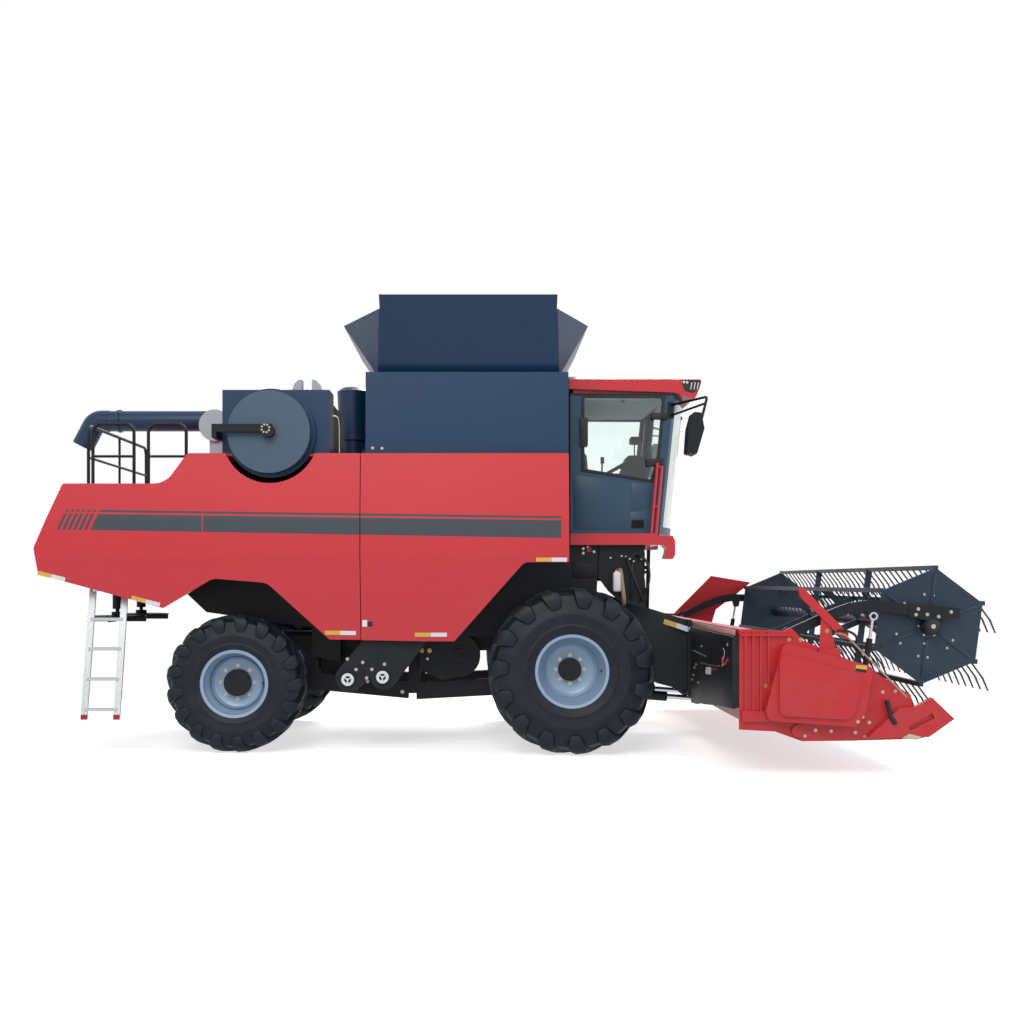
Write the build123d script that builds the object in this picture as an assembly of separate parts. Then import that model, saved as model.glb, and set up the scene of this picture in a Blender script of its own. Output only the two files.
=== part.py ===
"""A self-propelled combine harvester with a reel header, in millimetres.

+X is forward, +Y is the machine's left and +Z is up. The origin is on the ground under the middle of the
machine's box. Each node is written to parts/NODE.step, and a node's solids are all carried by one body.
"""
from build123d import *
import math
import os

# ---------------------------------------------------------------- driving dimensions
DATUM_X = 270.0           # from the drawing's datum to the middle of the machine's box
SEAT_GAP = 0.3            # between curved faces of pieces that sit in each other
RUN_GAP = 5.0             # between pieces that move past each other
PIN_GAP = 0.5             # between a moving piece and the face or ear beside it
FIT = 0.05                # radial, between a pin and the bore that turns on it

FRONT_AXLE_X = 790.0
WHEELBASE = 3245.0
REAR_AXLE_X = FRONT_AXLE_X - WHEELBASE

FRONT_TYRE_R = 800.0
FRONT_TYRE_W = 620.0
FRONT_RIM_R = 330.0       # bead seat of a 26 inch rim
FRONT_WHEEL_Y = 1290.0
RIM_LIP = 26.0            # height of the rims' flanges
FRONT_LUGS, REAR_LUGS = 15, 17          # on each half of a tread
REAR_TYRE_R = 667.0
REAR_TYRE_W = 430.0
REAR_RIM_R = 305.0        # bead seat of a 24 inch rim
REAR_WHEEL_Y = 1200.0

BODY_HALF = 780.0         # half width of the threshing body
DECK_HALF = 1350.0        # half width of the decks between the side panels
PANEL_THICK = 45.0
DECK_Z = 2890.0           # top of the engine deck
TAIL_DECK_Z = 2585.0      # top of the tail deck
SHEET = 25.0

TANK_X0, TANK_X1 = -1190.0, 770.0
TANK_HALF = DECK_HALF
TANK_TOP = 3680.0

CAB_HALF = 810.0
CAB_X0 = 830.0
CAB_FLOOR = 2139.0
CAB_TOP = 3560.0
PLATFORM_Z = 2024.0       # underside of the cab platform
LANDING_X1, LANDING_Y = 1962.0, 1275.0  # front and outer edges of the left landing

HEADER_HALF = 2750.0      # to the outside of an end sheet
HEADER_FLOOR = 315.0      # underside of the header's floor
KNIFE_X = 3440.0
AUGER_X, AUGER_Z, AUGER_R = 2690.0, 650.0, 290.0
REEL_X, REEL_Z, REEL_R = 3770.0, 1272.0, 505.0
REEL_HALF = HEADER_HALF - 150.0
REEL_BATS = 6
REEL_PHASE = 22.7         # angle of the first bat, from +X towards +Z

FEEDER_PIVOT = (1130.0, 1330.0)
FEEDER_HALF = 600.0


# ---------------------------------------------------------------- plain shapes
def block(x0, x1, y0, y1, z0, z1):
    """A box between two corners."""
    return Pos((x0 + x1) / 2, (y0 + y1) / 2, (z0 + z1) / 2) * Box(x1 - x0, y1 - y0, z1 - z0)


def side_plate(points, y0, y1, radii=None):
    """A solid whose outline lies in X and Z, from y0 to y1."""
    corners = [(x, 0, z) for x, z in points]
    if radii:
        outline = FilletPolyline(*corners, radius=radii, close=True)
    else:
        outline = Polyline(*corners, close=True)
    return Pos(0, y0, 0) * extrude(make_face(outline), amount=y1 - y0, dir=(0, 1, 0))


def cross_plate(points, x0, x1):
    """A solid whose outline lies in Y and Z, from x0 to x1."""
    outline = Polyline(*[(0, y, z) for y, z in points], close=True)
    return Pos(x0, 0, 0) * extrude(make_face(outline), amount=x1 - x0, dir=(1, 0, 0))


def flat_plate(points, z0, z1):
    """A solid whose outline lies in X and Y, from z0 to z1."""
    outline = Polyline(*[(x, y, 0) for x, y in points], close=True)
    return Pos(0, 0, z0) * extrude(make_face(outline), amount=z1 - z0, dir=(0, 0, 1))


def shaft_y(x, z, radius, y0, y1):
    """A round bar along Y."""
    return Pos(x, (y0 + y1) / 2, z) * Rot(90, 0, 0) * Cylinder(radius, y1 - y0)


def shaft_z(x, y, radius, z0, z1):
    """A round bar along Z."""
    return Pos(x, y, (z0 + z1) / 2) * Cylinder(radius, z1 - z0)


def bar(start, end, radius):
    """A round bar between two points."""
    start, end = Vector(*start), Vector(*end)
    run = end - start
    return Plane(origin=start, z_dir=run) * Cylinder(
        radius, run.length, align=(Align.CENTER, Align.CENTER, Align.MIN))


def box_beam(start, end, across, deep):
    """A square-edged beam between two points. across is its size along Y, or along X for a beam along Y."""
    start, end = Vector(*start), Vector(*end)
    run = end - start
    side = Vector(1, 0, 0) if abs(run.Y) > 0.9 * run.length else Vector(0, 1, 0)
    return Plane(origin=start, x_dir=side, z_dir=run) * Box(
        across, deep, run.length, align=(Align.CENTER, Align.CENTER, Align.MIN))


def bent_tube(points, radius, bend):
    """A round tube along straight runs with round bends."""
    path = FilletPolyline(*points, radius=bend) if len(points) > 2 else Polyline(*points)
    return sweep(Plane(origin=path @ 0, z_dir=path % 0) * Circle(radius), path=path)


def flip(shape):
    """The same shape on the machine's other side."""
    return mirror(shape, about=Plane.XZ)


def fuse(parts):
    """All of the parts as one."""
    whole = parts[0]
    return whole.fuse(*parts[1:]) if len(parts) > 1 else whole


def turned(sections):
    """A ring about Y from a closed outline of (radius, y) points."""
    outline = Polyline(*[(r, y, 0) for r, y in sections], close=True)
    return revolve(make_face(outline), axis=Axis.Y)


# ---------------------------------------------------------------- wheels
def facet_ring(outline, sides):
    """A ring about Y with flat facets, from a closed outline of (radius, y) points."""
    turn = 2 * math.pi / sides
    levels = [[(r * math.cos(turn * i), y, r * math.sin(turn * i)) for i in range(sides)] for r, y in outline]
    faces = []
    for a, b in zip(levels, levels[1:] + levels[:1]):
        for i in range(sides):
            j = (i + 1) % sides
            faces.append(Face(Wire.make_polygon([a[i], a[j], b[j], b[i]], close=True)))
    return Solid(Shell(faces))


LUG_SLANT = 42.0          # degrees between a lug and the wheel's axle
LUG_HIGH = 38.0


def tyre(radius, width, rim_r, lugs, lug_w):
    """A lugged tyre about Y, centred on the origin, with its bead on the rim's seat. lugs counts one side."""
    half = width / 2
    sides = 2 * lugs
    bead = 0.4 * width - SEAT_GAP
    bore = (rim_r + SEAT_GAP) / math.cos(math.pi / sides)
    toe = bore + RIM_LIP + 1
    base = radius - LUG_HIGH
    belly, shoulder = toe + 0.45 * (base - toe), 0.72 * half
    outline = [(bore, -bead), (toe, -bead), (belly, -half), (base, -shoulder), (base, shoulder),
               (belly, half), (toe, bead), (bore, bead)]
    slant = math.radians(LUG_SLANT)
    length = (half - lug_w / 2 * math.sin(slant)) / math.cos(slant) * 0.92
    spread = length / 2 * math.sin(slant) + lug_w / 2 * math.cos(slant)
    top = math.sqrt(radius ** 2 - spread ** 2)
    tall = LUG_HIGH + 80
    reach = length * math.cos(slant) + lug_w * math.sin(slant)
    bars = []
    for side in (-1, 1):
        one = Pos(0, side * (half - reach / 2), top - tall / 2) * Rot(0, 0, side * LUG_SLANT) * Box(
            lug_w, length, tall)
        for i in range(lugs):
            bars.append(Rot(0, 360 / lugs * (i + 0.25 * side), 0) * one)
    return facet_ring(outline, sides).fuse(*bars)


def rim(width, rim_r, disc_in, hub_r, bolt_circle_r, bolts=8):
    """A wheel rim about Y, outer side towards -Y. disc_in is the disc's depth behind the outer flange."""
    wall, lip, flange = 14.0, RIM_LIP, 12.0
    edge = 0.4 * width
    well = rim_r - 45.0
    barrel = turned([(rim_r + lip, -edge - flange), (rim_r + lip, -edge), (rim_r, -edge), (rim_r, -edge / 3),
                     (well, -edge / 6), (well, edge / 6), (rim_r, edge / 3), (rim_r, edge),
                     (rim_r + lip, edge), (rim_r + lip, edge + flange), (rim_r - wall, edge + flange),
                     (rim_r - wall, edge / 3 + wall), (well - wall, edge / 6), (well - wall, -edge / 6),
                     (rim_r - wall, -edge / 3 - wall), (rim_r - wall, -edge - flange)])
    disc_y = -edge - flange + disc_in
    disc_r = (well if abs(disc_y) < edge / 6 else rim_r) - wall + 1
    disc = shaft_y(0, 0, disc_r, disc_y, disc_y + 16) - shaft_y(0, 0, hub_r, disc_y - 1, disc_y + 17)
    for i in range(bolts):
        angle = math.radians(360 / bolts * i)
        disc -= shaft_y(bolt_circle_r * math.cos(angle), bolt_circle_r * math.sin(angle), 10, disc_y - 1,
                        disc_y + 17)
    return barrel + disc


FRONT_HUB_R, FRONT_BOLT_R = 110.0, 137.0
REAR_HUB_R, REAR_BOLT_R = 130.0, 165.0
FRONT_DISC_IN, REAR_DISC_IN = 300.0, 200.0
FRONT_DISC_Y = FRONT_WHEEL_Y + 0.4 * FRONT_TYRE_W + 12 - FRONT_DISC_IN   # outer face of the front disc
REAR_DISC_Y = REAR_WHEEL_Y + 0.4 * REAR_TYRE_W + 12 - REAR_DISC_IN


def wheel_nodes():
    """Tyres and rims, right and left, front and rear."""
    nodes = {}
    # name, axle x and z, wheel y, tyre radius, width, rim radius, disc depth, hub, bolts, lugs, lug width
    table = [
        ("front", FRONT_AXLE_X, FRONT_TYRE_R, FRONT_WHEEL_Y, FRONT_TYRE_R, FRONT_TYRE_W, FRONT_RIM_R,
         FRONT_DISC_IN, FRONT_HUB_R + PIN_GAP, FRONT_BOLT_R, FRONT_LUGS, 52.0),
        ("rear", REAR_AXLE_X, REAR_TYRE_R, REAR_WHEEL_Y, REAR_TYRE_R, REAR_TYRE_W, REAR_RIM_R,
         REAR_DISC_IN, REAR_HUB_R + PIN_GAP, REAR_BOLT_R, REAR_LUGS, 40.0),
    ]
    for name, x, z, y, radius, width, rim_r, disc_in, hub_r, bolt_r, lugs, lug_w in table:
        rubber = Pos(x, -y, z) * tyre(radius, width, rim_r, lugs, lug_w)
        steel = Pos(x, -y, z) * rim(width, rim_r, disc_in, hub_r, bolt_r)
        nodes[f"{name}_tyre_right"], nodes[f"{name}_tyre_left"] = rubber, flip(rubber)
        nodes[f"{name}_rim_right"], nodes[f"{name}_rim_left"] = steel, flip(steel)
    return nodes


# ---------------------------------------------------------------- axles and steering
KINGPIN_Y = 930.0
KINGPIN_R = 32.0
BOSS_R, BOSS_HALF = 62.0, 90.0
STEER_ARM = 190.0         # from the kingpin back to the tie rod's joint
ARM_THICK = 22.0
AXLE_Z = REAR_TYRE_R
FRAME_Z0, FRAME_Z1 = 960.0, 1100.0      # the main rails
RAIL_Y, RAIL_W = 560.0, 120.0
AXLE_TUBE_R = 120.0


def front_axle():
    """The drive axle: housing, final drives and hubs, with the gearbox in its middle."""
    y_end = FRONT_DISC_Y + 55
    parts = [shaft_y(FRONT_AXLE_X, FRONT_TYRE_R, AXLE_TUBE_R, -900, 900),
             shaft_y(FRONT_AXLE_X, FRONT_TYRE_R, FRONT_HUB_R, -y_end, y_end)]
    for side in (-1, 1):
        parts.append(shaft_y(FRONT_AXLE_X, FRONT_TYRE_R, 210, *sorted((side * 860, side * 960))))
        parts.append(block(FRONT_AXLE_X - 90, FRONT_AXLE_X + 90,
                           *sorted((side * (RAIL_Y - 70), side * (RAIL_Y + 70))),
                           FRONT_TYRE_R, FRAME_Z0))
    parts.append(block(FRONT_AXLE_X - 190, FRONT_AXLE_X + 150, -230, 230, FRONT_TYRE_R - 190,
                       FRONT_TYRE_R + 150))
    return fuse(parts)


def rear_axle():
    """The steering axle's beam, with a boss at each end and the pivot bracket that carries it."""
    beam = side_plate([(REAR_AXLE_X - 75, AXLE_Z - 70), (REAR_AXLE_X + 75, AXLE_Z - 70),
                       (REAR_AXLE_X + 75, AXLE_Z + 70), (REAR_AXLE_X - 75, AXLE_Z + 70)],
                      -KINGPIN_Y + 20, KINGPIN_Y - 20)
    middle = cross_plate([(-420, AXLE_Z + 70), (420, AXLE_Z + 70), (180, AXLE_Z + 150), (-180, AXLE_Z + 150)],
                         REAR_AXLE_X - 75, REAR_AXLE_X + 75)
    pivot = block(REAR_AXLE_X - 110, REAR_AXLE_X + 110, -90, 90, AXLE_Z + 100, FRAME_Z0)
    parts = [beam, middle, pivot]
    bores = []
    for side in (-1, 1):
        parts.append(shaft_z(REAR_AXLE_X, side * KINGPIN_Y, BOSS_R, AXLE_Z - BOSS_HALF, AXLE_Z + BOSS_HALF))
        bores.append(shaft_z(REAR_AXLE_X, side * KINGPIN_Y, KINGPIN_R + 0.05,
                             AXLE_Z - BOSS_HALF - 1, AXLE_Z + BOSS_HALF + 1))
    return fuse(parts).cut(*bores)


def knuckle_right():
    """The right steering knuckle: a yoke round the axle's boss, its kingpin, spindle and steering arm."""
    x, y = REAR_AXLE_X, -KINGPIN_Y
    web_y = y - BOSS_R - RUN_GAP
    plates = []
    for side in (-1, 1):
        z0, z1 = sorted((AXLE_Z + side * (BOSS_HALF + PIN_GAP),
                         AXLE_Z + side * (BOSS_HALF + PIN_GAP + ARM_THICK)))
        plates.append(block(x - 60, x + 60, web_y - 30, y + 55, z0, z1))
    web = block(x - 60, x + 60, web_y - 30, web_y, AXLE_Z - BOSS_HALF - PIN_GAP - ARM_THICK,
                AXLE_Z + BOSS_HALF + PIN_GAP + ARM_THICK)
    pin = shaft_z(x, y, KINGPIN_R, AXLE_Z - BOSS_HALF - 30, AXLE_Z + BOSS_HALF + 30)
    spindle = shaft_y(x, AXLE_Z, REAR_HUB_R, -REAR_DISC_Y - 60, web_y - 29)
    low = AXLE_Z - BOSS_HALF - PIN_GAP - ARM_THICK
    arm = flat_plate([(x - STEER_ARM - 35, y - 30), (x - STEER_ARM - 35, y + 30), (x, y + 55), (x, y - 60)],
                     low, low + ARM_THICK)
    arm -= shaft_z(x - STEER_ARM, y, 14, low - 1, low + ARM_THICK + 1)
    return fuse([web, *plates, pin, spindle, arm])


def tie_rod():
    """The rod that joins the two steering arms, below them, with a stud up through each."""
    z_arm = AXLE_Z - BOSS_HALF - PIN_GAP - ARM_THICK
    x = REAR_AXLE_X - STEER_ARM
    rod = shaft_y(x, z_arm - 28, 20, -KINGPIN_Y + 10, KINGPIN_Y - 10)
    parts = [rod]
    for side in (-1, 1):
        parts.append(shaft_z(x, side * KINGPIN_Y, 26, z_arm - 50, z_arm - PIN_GAP))
        parts.append(shaft_z(x, side * KINGPIN_Y, 13.9, z_arm - 10, z_arm + ARM_THICK + 8))
    return fuse(parts)


# ---------------------------------------------------------------- chassis and body
BOOTS = [(-1350.0, 722.0), (-1017.0, 744.0)]      # elevator boots: tailings, then clean grain
BOOT_R = 135.0
FAN_X, FAN_Z, FAN_R = -300.0, 905.0, 218.0
ELEVATOR_Y0, ELEVATOR_Y1 = -DECK_HALF + 20.0, -DECK_HALF + 170.0
SPREADER_X, SPREADER_Y, SPREADER_R, SPREADER_Z = -3870.0, 430.0, 300.0, 1300.0
BODY_TOP = DECK_Z - SHEET
FEEDER_R = 215.0          # round rear end of the feeder house
CHEEK_Y = 700.0           # inner faces of the cheeks that carry the feeder's hinge shaft
HINGE_SHAFT_R = 40.0
LIFT_LOW = (985.0, 520.0)               # pin of the header's lift cylinders on the chassis
LIFT_HIGH = (2215.0, 432.0)             # pin on the feeder house
LIFT_Y = 430.0
LIFT_PIN_R = 22.0
LIFT_BARREL, LIFT_ROD = 880.0, 760.0       # lengths of its barrels and rods from their own pins
LIFT_EYE_PLAY = 13.0                    # the rod's eye is the opened joint of its linkage, so it has play
EYE_WALL = 14.0


def chassis_frame():
    """Main rails, lower chords, posts and cross members."""
    parts = []
    tail = FRAME_TAIL
    for side in (-1, 1):
        y = side * RAIL_Y
        parts.append(block(tail, 1060, y - RAIL_W / 2, y + RAIL_W / 2, FRAME_Z0, FRAME_Z1))
        parts.append(box_beam((640, y, 606), (-760, y, 529), RAIL_W, CHORD_DEEP))
        parts.append(box_beam((-740, y, 533), (-1880, y, 640), RAIL_W, CHORD_DEEP))
        for x, z in ((420, 560), (-760, 500), (-1800, 620)):
            parts.append(block(x - 60, x + 60, y - RAIL_W / 2, y + RAIL_W / 2, z, FRAME_Z0 + 10))
        ear = side_plate([(930, 960), (1060, 960), (1045, 480), (925, 480)],
                         side * LIFT_Y - 55, side * LIFT_Y - 30)
        parts += [ear, Pos(0, 85, 0) * ear]
        y0, y1 = sorted((side * (LIFT_Y - 60), side * (RAIL_Y + RAIL_W / 2)))
        parts.append(block(880, 1060, y0, y1, 900, FRAME_Z1))
    for x in (-2600, -1700, 1000):
        parts.append(block(x - 60, x + 60, -RAIL_Y, RAIL_Y, FRAME_Z0, FRAME_Z1))
    parts.append(block(REAR_AXLE_X - 110, REAR_AXLE_X + 110, -RAIL_Y, RAIL_Y, FRAME_Z0, FRAME_Z1))
    tow = side_plate([(tail, 965), (tail - 160, 985), (tail - 260, 985), (tail - 260, 1060),
                      (tail - 160, 1060),
                      (tail, 1095)], -60, 60)
    slot = block(tail - 261, tail - 160, -70, 70, 1010, 1036)
    pin_hole = shaft_z(TOW_X, 0, TOW_R, 900, 1100)
    frame = fuse(parts + [block(tail, tail + 160, -RAIL_Y, RAIL_Y, FRAME_Z0, FRAME_Z1),
                          tow]) - slot - pin_hole
    for side in (-1, 1):
        y0, y1 = sorted((side * (RAIL_Y - RAIL_W), side * (RAIL_Y + RAIL_W)))
        frame -= block(-822, -738, y0, y1, 400, CHORD_SPLICE_Z)
        frame += shaft_y(*LIFT_LOW, LIFT_PIN_R, side * LIFT_Y - 62, side * LIFT_Y + 62)
    return frame


FRAME_TAIL = -2700.0
CHORD_DEEP = 172.0
CHORD_SPLICE_Z = 507.0    # underside of the splice between the front and rear chords
TOW_X, TOW_R = FRAME_TAIL - 215.0, 16.5


def threshing_body():
    """The black body between the side panels, with its auger troughs, fan and feeder inlet."""
    outline = [(760, BODY_TOP), (-2860, BODY_TOP), (-3450, 2540), (-3450, 1900), (-2860, 1345), (-1760, 1185),
               (-1560, FRAME_Z1), (900, FRAME_Z1), (1090, 1300), (1120, PLATFORM_Z), (760, PLATFORM_Z)]
    body = side_plate(outline, -BODY_HALF, BODY_HALF)
    inner = RAIL_Y - RAIL_W / 2 - RUN_GAP
    hopper = side_plate([(-1765, FRAME_Z1 + 5), (-1765, 950), (-1880, 935), (-1880, 800), (-1560, 690),
                         (-1470, 680), (-1230, 680), (-1180, 820), (-1130, 700), (-900, 700), (-780, 900),
                         (-600, 940), (-20, 940), (120, FRAME_Z1 + 5)], -inner, inner)
    parts = [body, hopper]
    for side in (-1, 1):
        y0, y1 = sorted((side * BODY_HALF, side * (BODY_HALF - 80)))
        scroll = side_plate([(-723, 1110), (-688, 759), (-471, 655), (FAN_X, FAN_Z - FAN_R + 3),
                             (FAN_X, 1110)], y0, y1)
        skirt = side_plate([(-1790, 1210), (-1785, 905), (-1700, 885), (-1560, 850), (-1500, 838),
                            (-1500, 1110)], y0, y1)
        parts += [scroll, skirt]
    for x, z in BOOTS:
        parts.append(shaft_y(x, z, 105, ELEVATOR_Y1, inner))
    parts.append(shaft_y(FAN_X, FAN_Z, FAN_R, -BODY_HALF, BODY_HALF))
    arms = [block(-3920, -3400, side * SPREADER_Y - 40, side * SPREADER_Y + 40, 1560, 1640) for side in (-1,
                                                                                                         1)]
    drop = [block(-3450, -3370, side * SPREADER_Y - 40, side * SPREADER_Y + 40, 1560, 1910) for side in (-1,
                                                                                                         1)]
    hubs = [shaft_z(SPREADER_X, side * SPREADER_Y, 50, SPREADER_Z + 70, 1570) for side in (-1, 1)]
    shafts = [shaft_z(SPREADER_X, side * SPREADER_Y, 20, SPREADER_Z - 40, 1570) for side in (-1, 1)]
    inlet = shaft_y(*FEEDER_PIVOT, FEEDER_R + 10, -CHEEK_Y, CHEEK_Y)
    px, pz = FEEDER_PIVOT
    for side in (-1, 1):
        parts.append(side_plate([(900, 1105), (px + 20, pz - 90), (px + 90, pz - 30), (px + 90, pz + 40),
                                 (px, pz + 130), (1000, pz + 200)],
                                *sorted((side * CHEEK_Y, side * (CHEEK_Y + 40)))))
    inlet += shaft_y(px, pz, HINGE_SHAFT_R + FIT, -CHEEK_Y - 60, CHEEK_Y + 60)
    return fuse(parts + arms + drop + hubs + shafts).cut(chassis_frame(), inlet)


def elevators():
    """The slanted elevator housings on the right, with their round boots and bearing caps."""
    parts = []
    tops = [(-640.0, 1560.0), (-150.0, 1900.0)]
    for (x0, z0), (x1, z1) in zip(BOOTS, tops):
        run = math.atan2(z1 - z0, x1 - x0)
        nx, nz = -math.sin(run) * BOOT_R, math.cos(run) * BOOT_R
        y0 = ELEVATOR_Y0
        parts.append(shaft_y(x0, z0, BOOT_R, y0, ELEVATOR_Y1))
        leg = [(x0 + nx, z0 + nz), (x0 - nx, z0 - nz), (x1 - nx, z1 - nz), (x1 + nx, z1 + nz)]
        parts.append(side_plate(leg, y0, ELEVATOR_Y1))
        parts.append(shaft_y(x0, z0, 62, y0 - 14, y0))
        parts.append(shaft_y(x0, z0, 28, y0 - 34, y0))
    parts.append(block(-700, -250, ELEVATOR_Y1 - 10, -BODY_HALF, 1480, 1560))
    return fuse(parts)


# ---------------------------------------------------------------- side panels
PANEL_SPLIT = -1230.0
PANEL_OUT = [  # y and z of the outside
    (DECK_HALF + 50.0, 1080.0), (DECK_HALF + 150.0, 1900.0), (DECK_HALF + 150.0, 2250.0),
             (DECK_HALF + 95.0, DECK_Z - 5)]
PANEL_Y0, PANEL_Y1 = -DECK_HALF - 250.0, -DECK_HALF + 150.0       # a slab that holds the right panels
DRUM_X, DRUM_Z, DRUM_R = -2095.0, 3058.0, 457.0
GAP = 4.0
REAR_OUTLINE = [  # x, z, corner radius
    (PANEL_SPLIT - GAP, 1095, 8), (-1532, 1097, 15), (-2125, 1642, 150), (-2640, 1684, 150),
    (-3126, 1400, 12), (-4305, 1723, 12), (-4342, 1979, 40), (-4075, 2592, 25), (-3094, 2592, 220),
    (-2889, 2885, 25), (PANEL_SPLIT - GAP, 2885, 4)]
FRONT_OUTLINE = [
    (PANEL_SPLIT + GAP, 1092, 8), (-338, 1074, 15), (340, 1840, 100), (765, 1840, 8), (765, 2885, 4),
    (PANEL_SPLIT + GAP, 2885, 4)]


def panel_band(x0, x1):
    """The panels' bowed cross-section along the whole machine, right side."""
    outer = [(-y, z) for y, z in PANEL_OUT]
    inner = [(-y + PANEL_THICK, z) for y, z in reversed(PANEL_OUT)]
    return cross_plate(outer + inner, x0, x1)


def panel(outline, drum=False):
    """A right side panel, cut from the bowed band by its outline."""
    prism = side_plate([p[:2] for p in outline], PANEL_Y0, PANEL_Y1, radii=[p[2] for p in outline])
    xs = [p[0] for p in outline]
    skin = panel_band(min(xs) - 5, max(xs) + 5) & prism
    if drum:
        skin -= shaft_y(DRUM_X, DRUM_Z, DRUM_R + RUN_GAP, PANEL_Y0, -DECK_HALF + 50)
    return skin


def rear_panel(drum):
    """A fixed rear side panel with the flange that carries it on the deck and the lower frame rail."""
    skin = panel(REAR_OUTLINE, drum)
    flange = block(-2860, PANEL_SPLIT - 40, -DECK_HALF - 80, -DECK_HALF, DECK_Z - SHEET, DECK_Z - SHEET + 12)
    y = -TAIL_BEAM_Y - 90
    rail = box_beam((-4240, y, 1765), (-3180, y, 1475), 60, 40)
    if drum:
        flange -= shaft_y(DRUM_X, DRUM_Z, DRUM_R + RUN_GAP, PANEL_Y0, -DECK_HALF + 50)
    return skin + flange + rail


def side_door():
    """The front side panel, a door hinged along its top edge."""
    skin = panel(FRONT_OUTLINE)
    knuckles = [Pos(x, -DOOR_HINGE_Y, DOOR_HINGE_Z) * Rot(0, 90, 0) * Cylinder(14, 90) for x in DOOR_HINGES]
    leaves = [block(x - 45, x + 45, -DOOR_HINGE_Y - 25, -DOOR_HINGE_Y, DOOR_HINGE_Z - 14, DOOR_HINGE_Z + 2)
              for x in DOOR_HINGES]
    return fuse([skin, *knuckles, *leaves])


DOOR_HINGE_Y, DOOR_HINGE_Z = DECK_HALF + 30.0, DECK_Z - 22.0
DOOR_HINGES = (-1000.0, -230.0, 540.0)


# ---------------------------------------------------------------- rear hood and decks
TAIL_BEAM = [(-4275.0, 1745.0), (-3180.0, 1445.0)]     # underside of the tail's lower side beams
TAIL_BEAM_Y = DECK_HALF - 88.0                        # their inner faces
TAIL_X = -4312.0                                      # rear end, where its sheet bends
TAIL_BEND_Z = 1979.0
TAIL_LOW_X, TAIL_TOP_X = TAIL_X + 30, TAIL_X + 262    # its foot and the deck's edge


def rear_hood():
    """Engine deck, tail deck and the closing sheet of the tail, on the frame that carries the side panels."""
    half = DECK_HALF
    tail = [(-2845, TAIL_DECK_Z), (TAIL_TOP_X, TAIL_DECK_Z), (TAIL_X, TAIL_BEND_Z), (TAIL_LOW_X, 1740),
            (TAIL_LOW_X + SHEET, 1740), (TAIL_X + SHEET, TAIL_BEND_Z + 4),
            (TAIL_TOP_X + 16, TAIL_DECK_Z - SHEET), (-2845, TAIL_DECK_Z - SHEET)]
    parts = [block(-2870, TANK_X0 - 2, -half, half, DECK_Z - SHEET, DECK_Z),
             block(-2870, -2845, -half, half, TAIL_DECK_Z - SHEET, DECK_Z),
             side_plate(tail, -half, half)]
    for side in (-1, 1):
        y0, y1 = sorted((side * (TAIL_BEAM_Y + 60), side * TAIL_BEAM_Y))
        low = list(TAIL_BEAM)
        parts.append(side_plate(low + [(x, z + 60) for x, z in reversed(low)], y0, y1))
        parts.append(block(-3240, -3180, y0, y1, 1500, TAIL_DECK_Z - SHEET))
    parts.append(block(-3240, -3180, -TAIL_BEAM_Y - 60, TAIL_BEAM_Y + 60, 1900, 1960))
    cut = block(-3455, -2845, -BODY_HALF, BODY_HALF, 1000, TAIL_DECK_Z)
    step = side_plate([(-2860, BODY_TOP), (-2845, BODY_TOP), (-2845, 2500), (-3450, 2500), (-3450, 2540)],
                      -BODY_HALF, BODY_HALF)
    return (fuse(parts) - cut) - step


# ---------------------------------------------------------------- grain tank and engine deck
TANK_SHEET = 25.0
MOUTH = (-1096.0, 700.0, TANK_HALF - 100.0)        # the extension's foot: rear x, front x, half width
FLARE_Z0, FLARE_Z1, LIP_Z = TANK_TOP, 4220.0, 4335.0
FLARE_SIDE = (-1038.0, 647.0, TANK_HALF + 300.0)   # top edges of the two side flaps
FLARE_END = (-1453.0, 1000.0, 900.0)    # outer corners of the two end flaps
TURRET_X, TURRET_Y, TURRET_R, TURRET_Z = -1580.0, DECK_HALF - 200.0, 160.0, 3340.0
ELBOW_R, ELBOW_TOP = 187.0, 3930.0
TUBE_Z, TUBE_R = 3545.0, 120.0
RADIATOR = (-2585.0, -1545.0, -DECK_HALF + 50.0, -DECK_HALF + 370.0, 3515.0)      # x0, x1, y0, y1, top
SCREEN_X, SCREEN_Z, SCREEN_R = -2103.0, 3087.0, 395.0
ENGINE_CLEAR, ENGINE_W = 40.0, 1360.0     # from the cooling box to the engine, and the engine's width
DUCT_WALL = 45.0             # the duct's post behind the cooling box


def grain_tank():
    """The tank: an open box with a floor that slopes to its cross auger, and the side doors' hinge leaves."""
    outer = block(TANK_X0, TANK_X1, -TANK_HALF, TANK_HALF, BODY_TOP, TANK_TOP)
    mid = (TANK_X0 + TANK_X1) / 2
    hollow = side_plate([(TANK_X0 + TANK_SHEET, 3300), (mid - 150, BODY_TOP + 40), (mid + 150, BODY_TOP + 40),
                         (TANK_X1 - TANK_SHEET, 3300), (TANK_X1 - TANK_SHEET, TANK_TOP - TANK_SHEET),
                         (TANK_X0 + TANK_SHEET, TANK_TOP - TANK_SHEET)],
                        -TANK_HALF + TANK_SHEET, TANK_HALF - TANK_SHEET)
    x0, x1, half = MOUTH
    mouth = block(x0, x1, -half, half, TANK_TOP - TANK_SHEET - 1, TANK_TOP + 1)
    tank = outer - hollow - mouth
    leaves = []
    for side in (-1, 1):
        for x in DOOR_HINGES:
            for end in (-1, 1):
                centre = x + end * (45 + PIN_GAP + 20)
                knuckle = Pos(centre, side * DOOR_HINGE_Y, DOOR_HINGE_Z) * Rot(0, 90, 0)
                leaves.append(knuckle * Cylinder(14, 40))
                y0, y1 = sorted((side * (TANK_HALF - 5), side * DOOR_HINGE_Y))
                leaves.append(block(centre - 20, centre + 20, y0, y1, DOOR_HINGE_Z - 3, DOOR_HINGE_Z + 12))
    return fuse([tank, *leaves])


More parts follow.
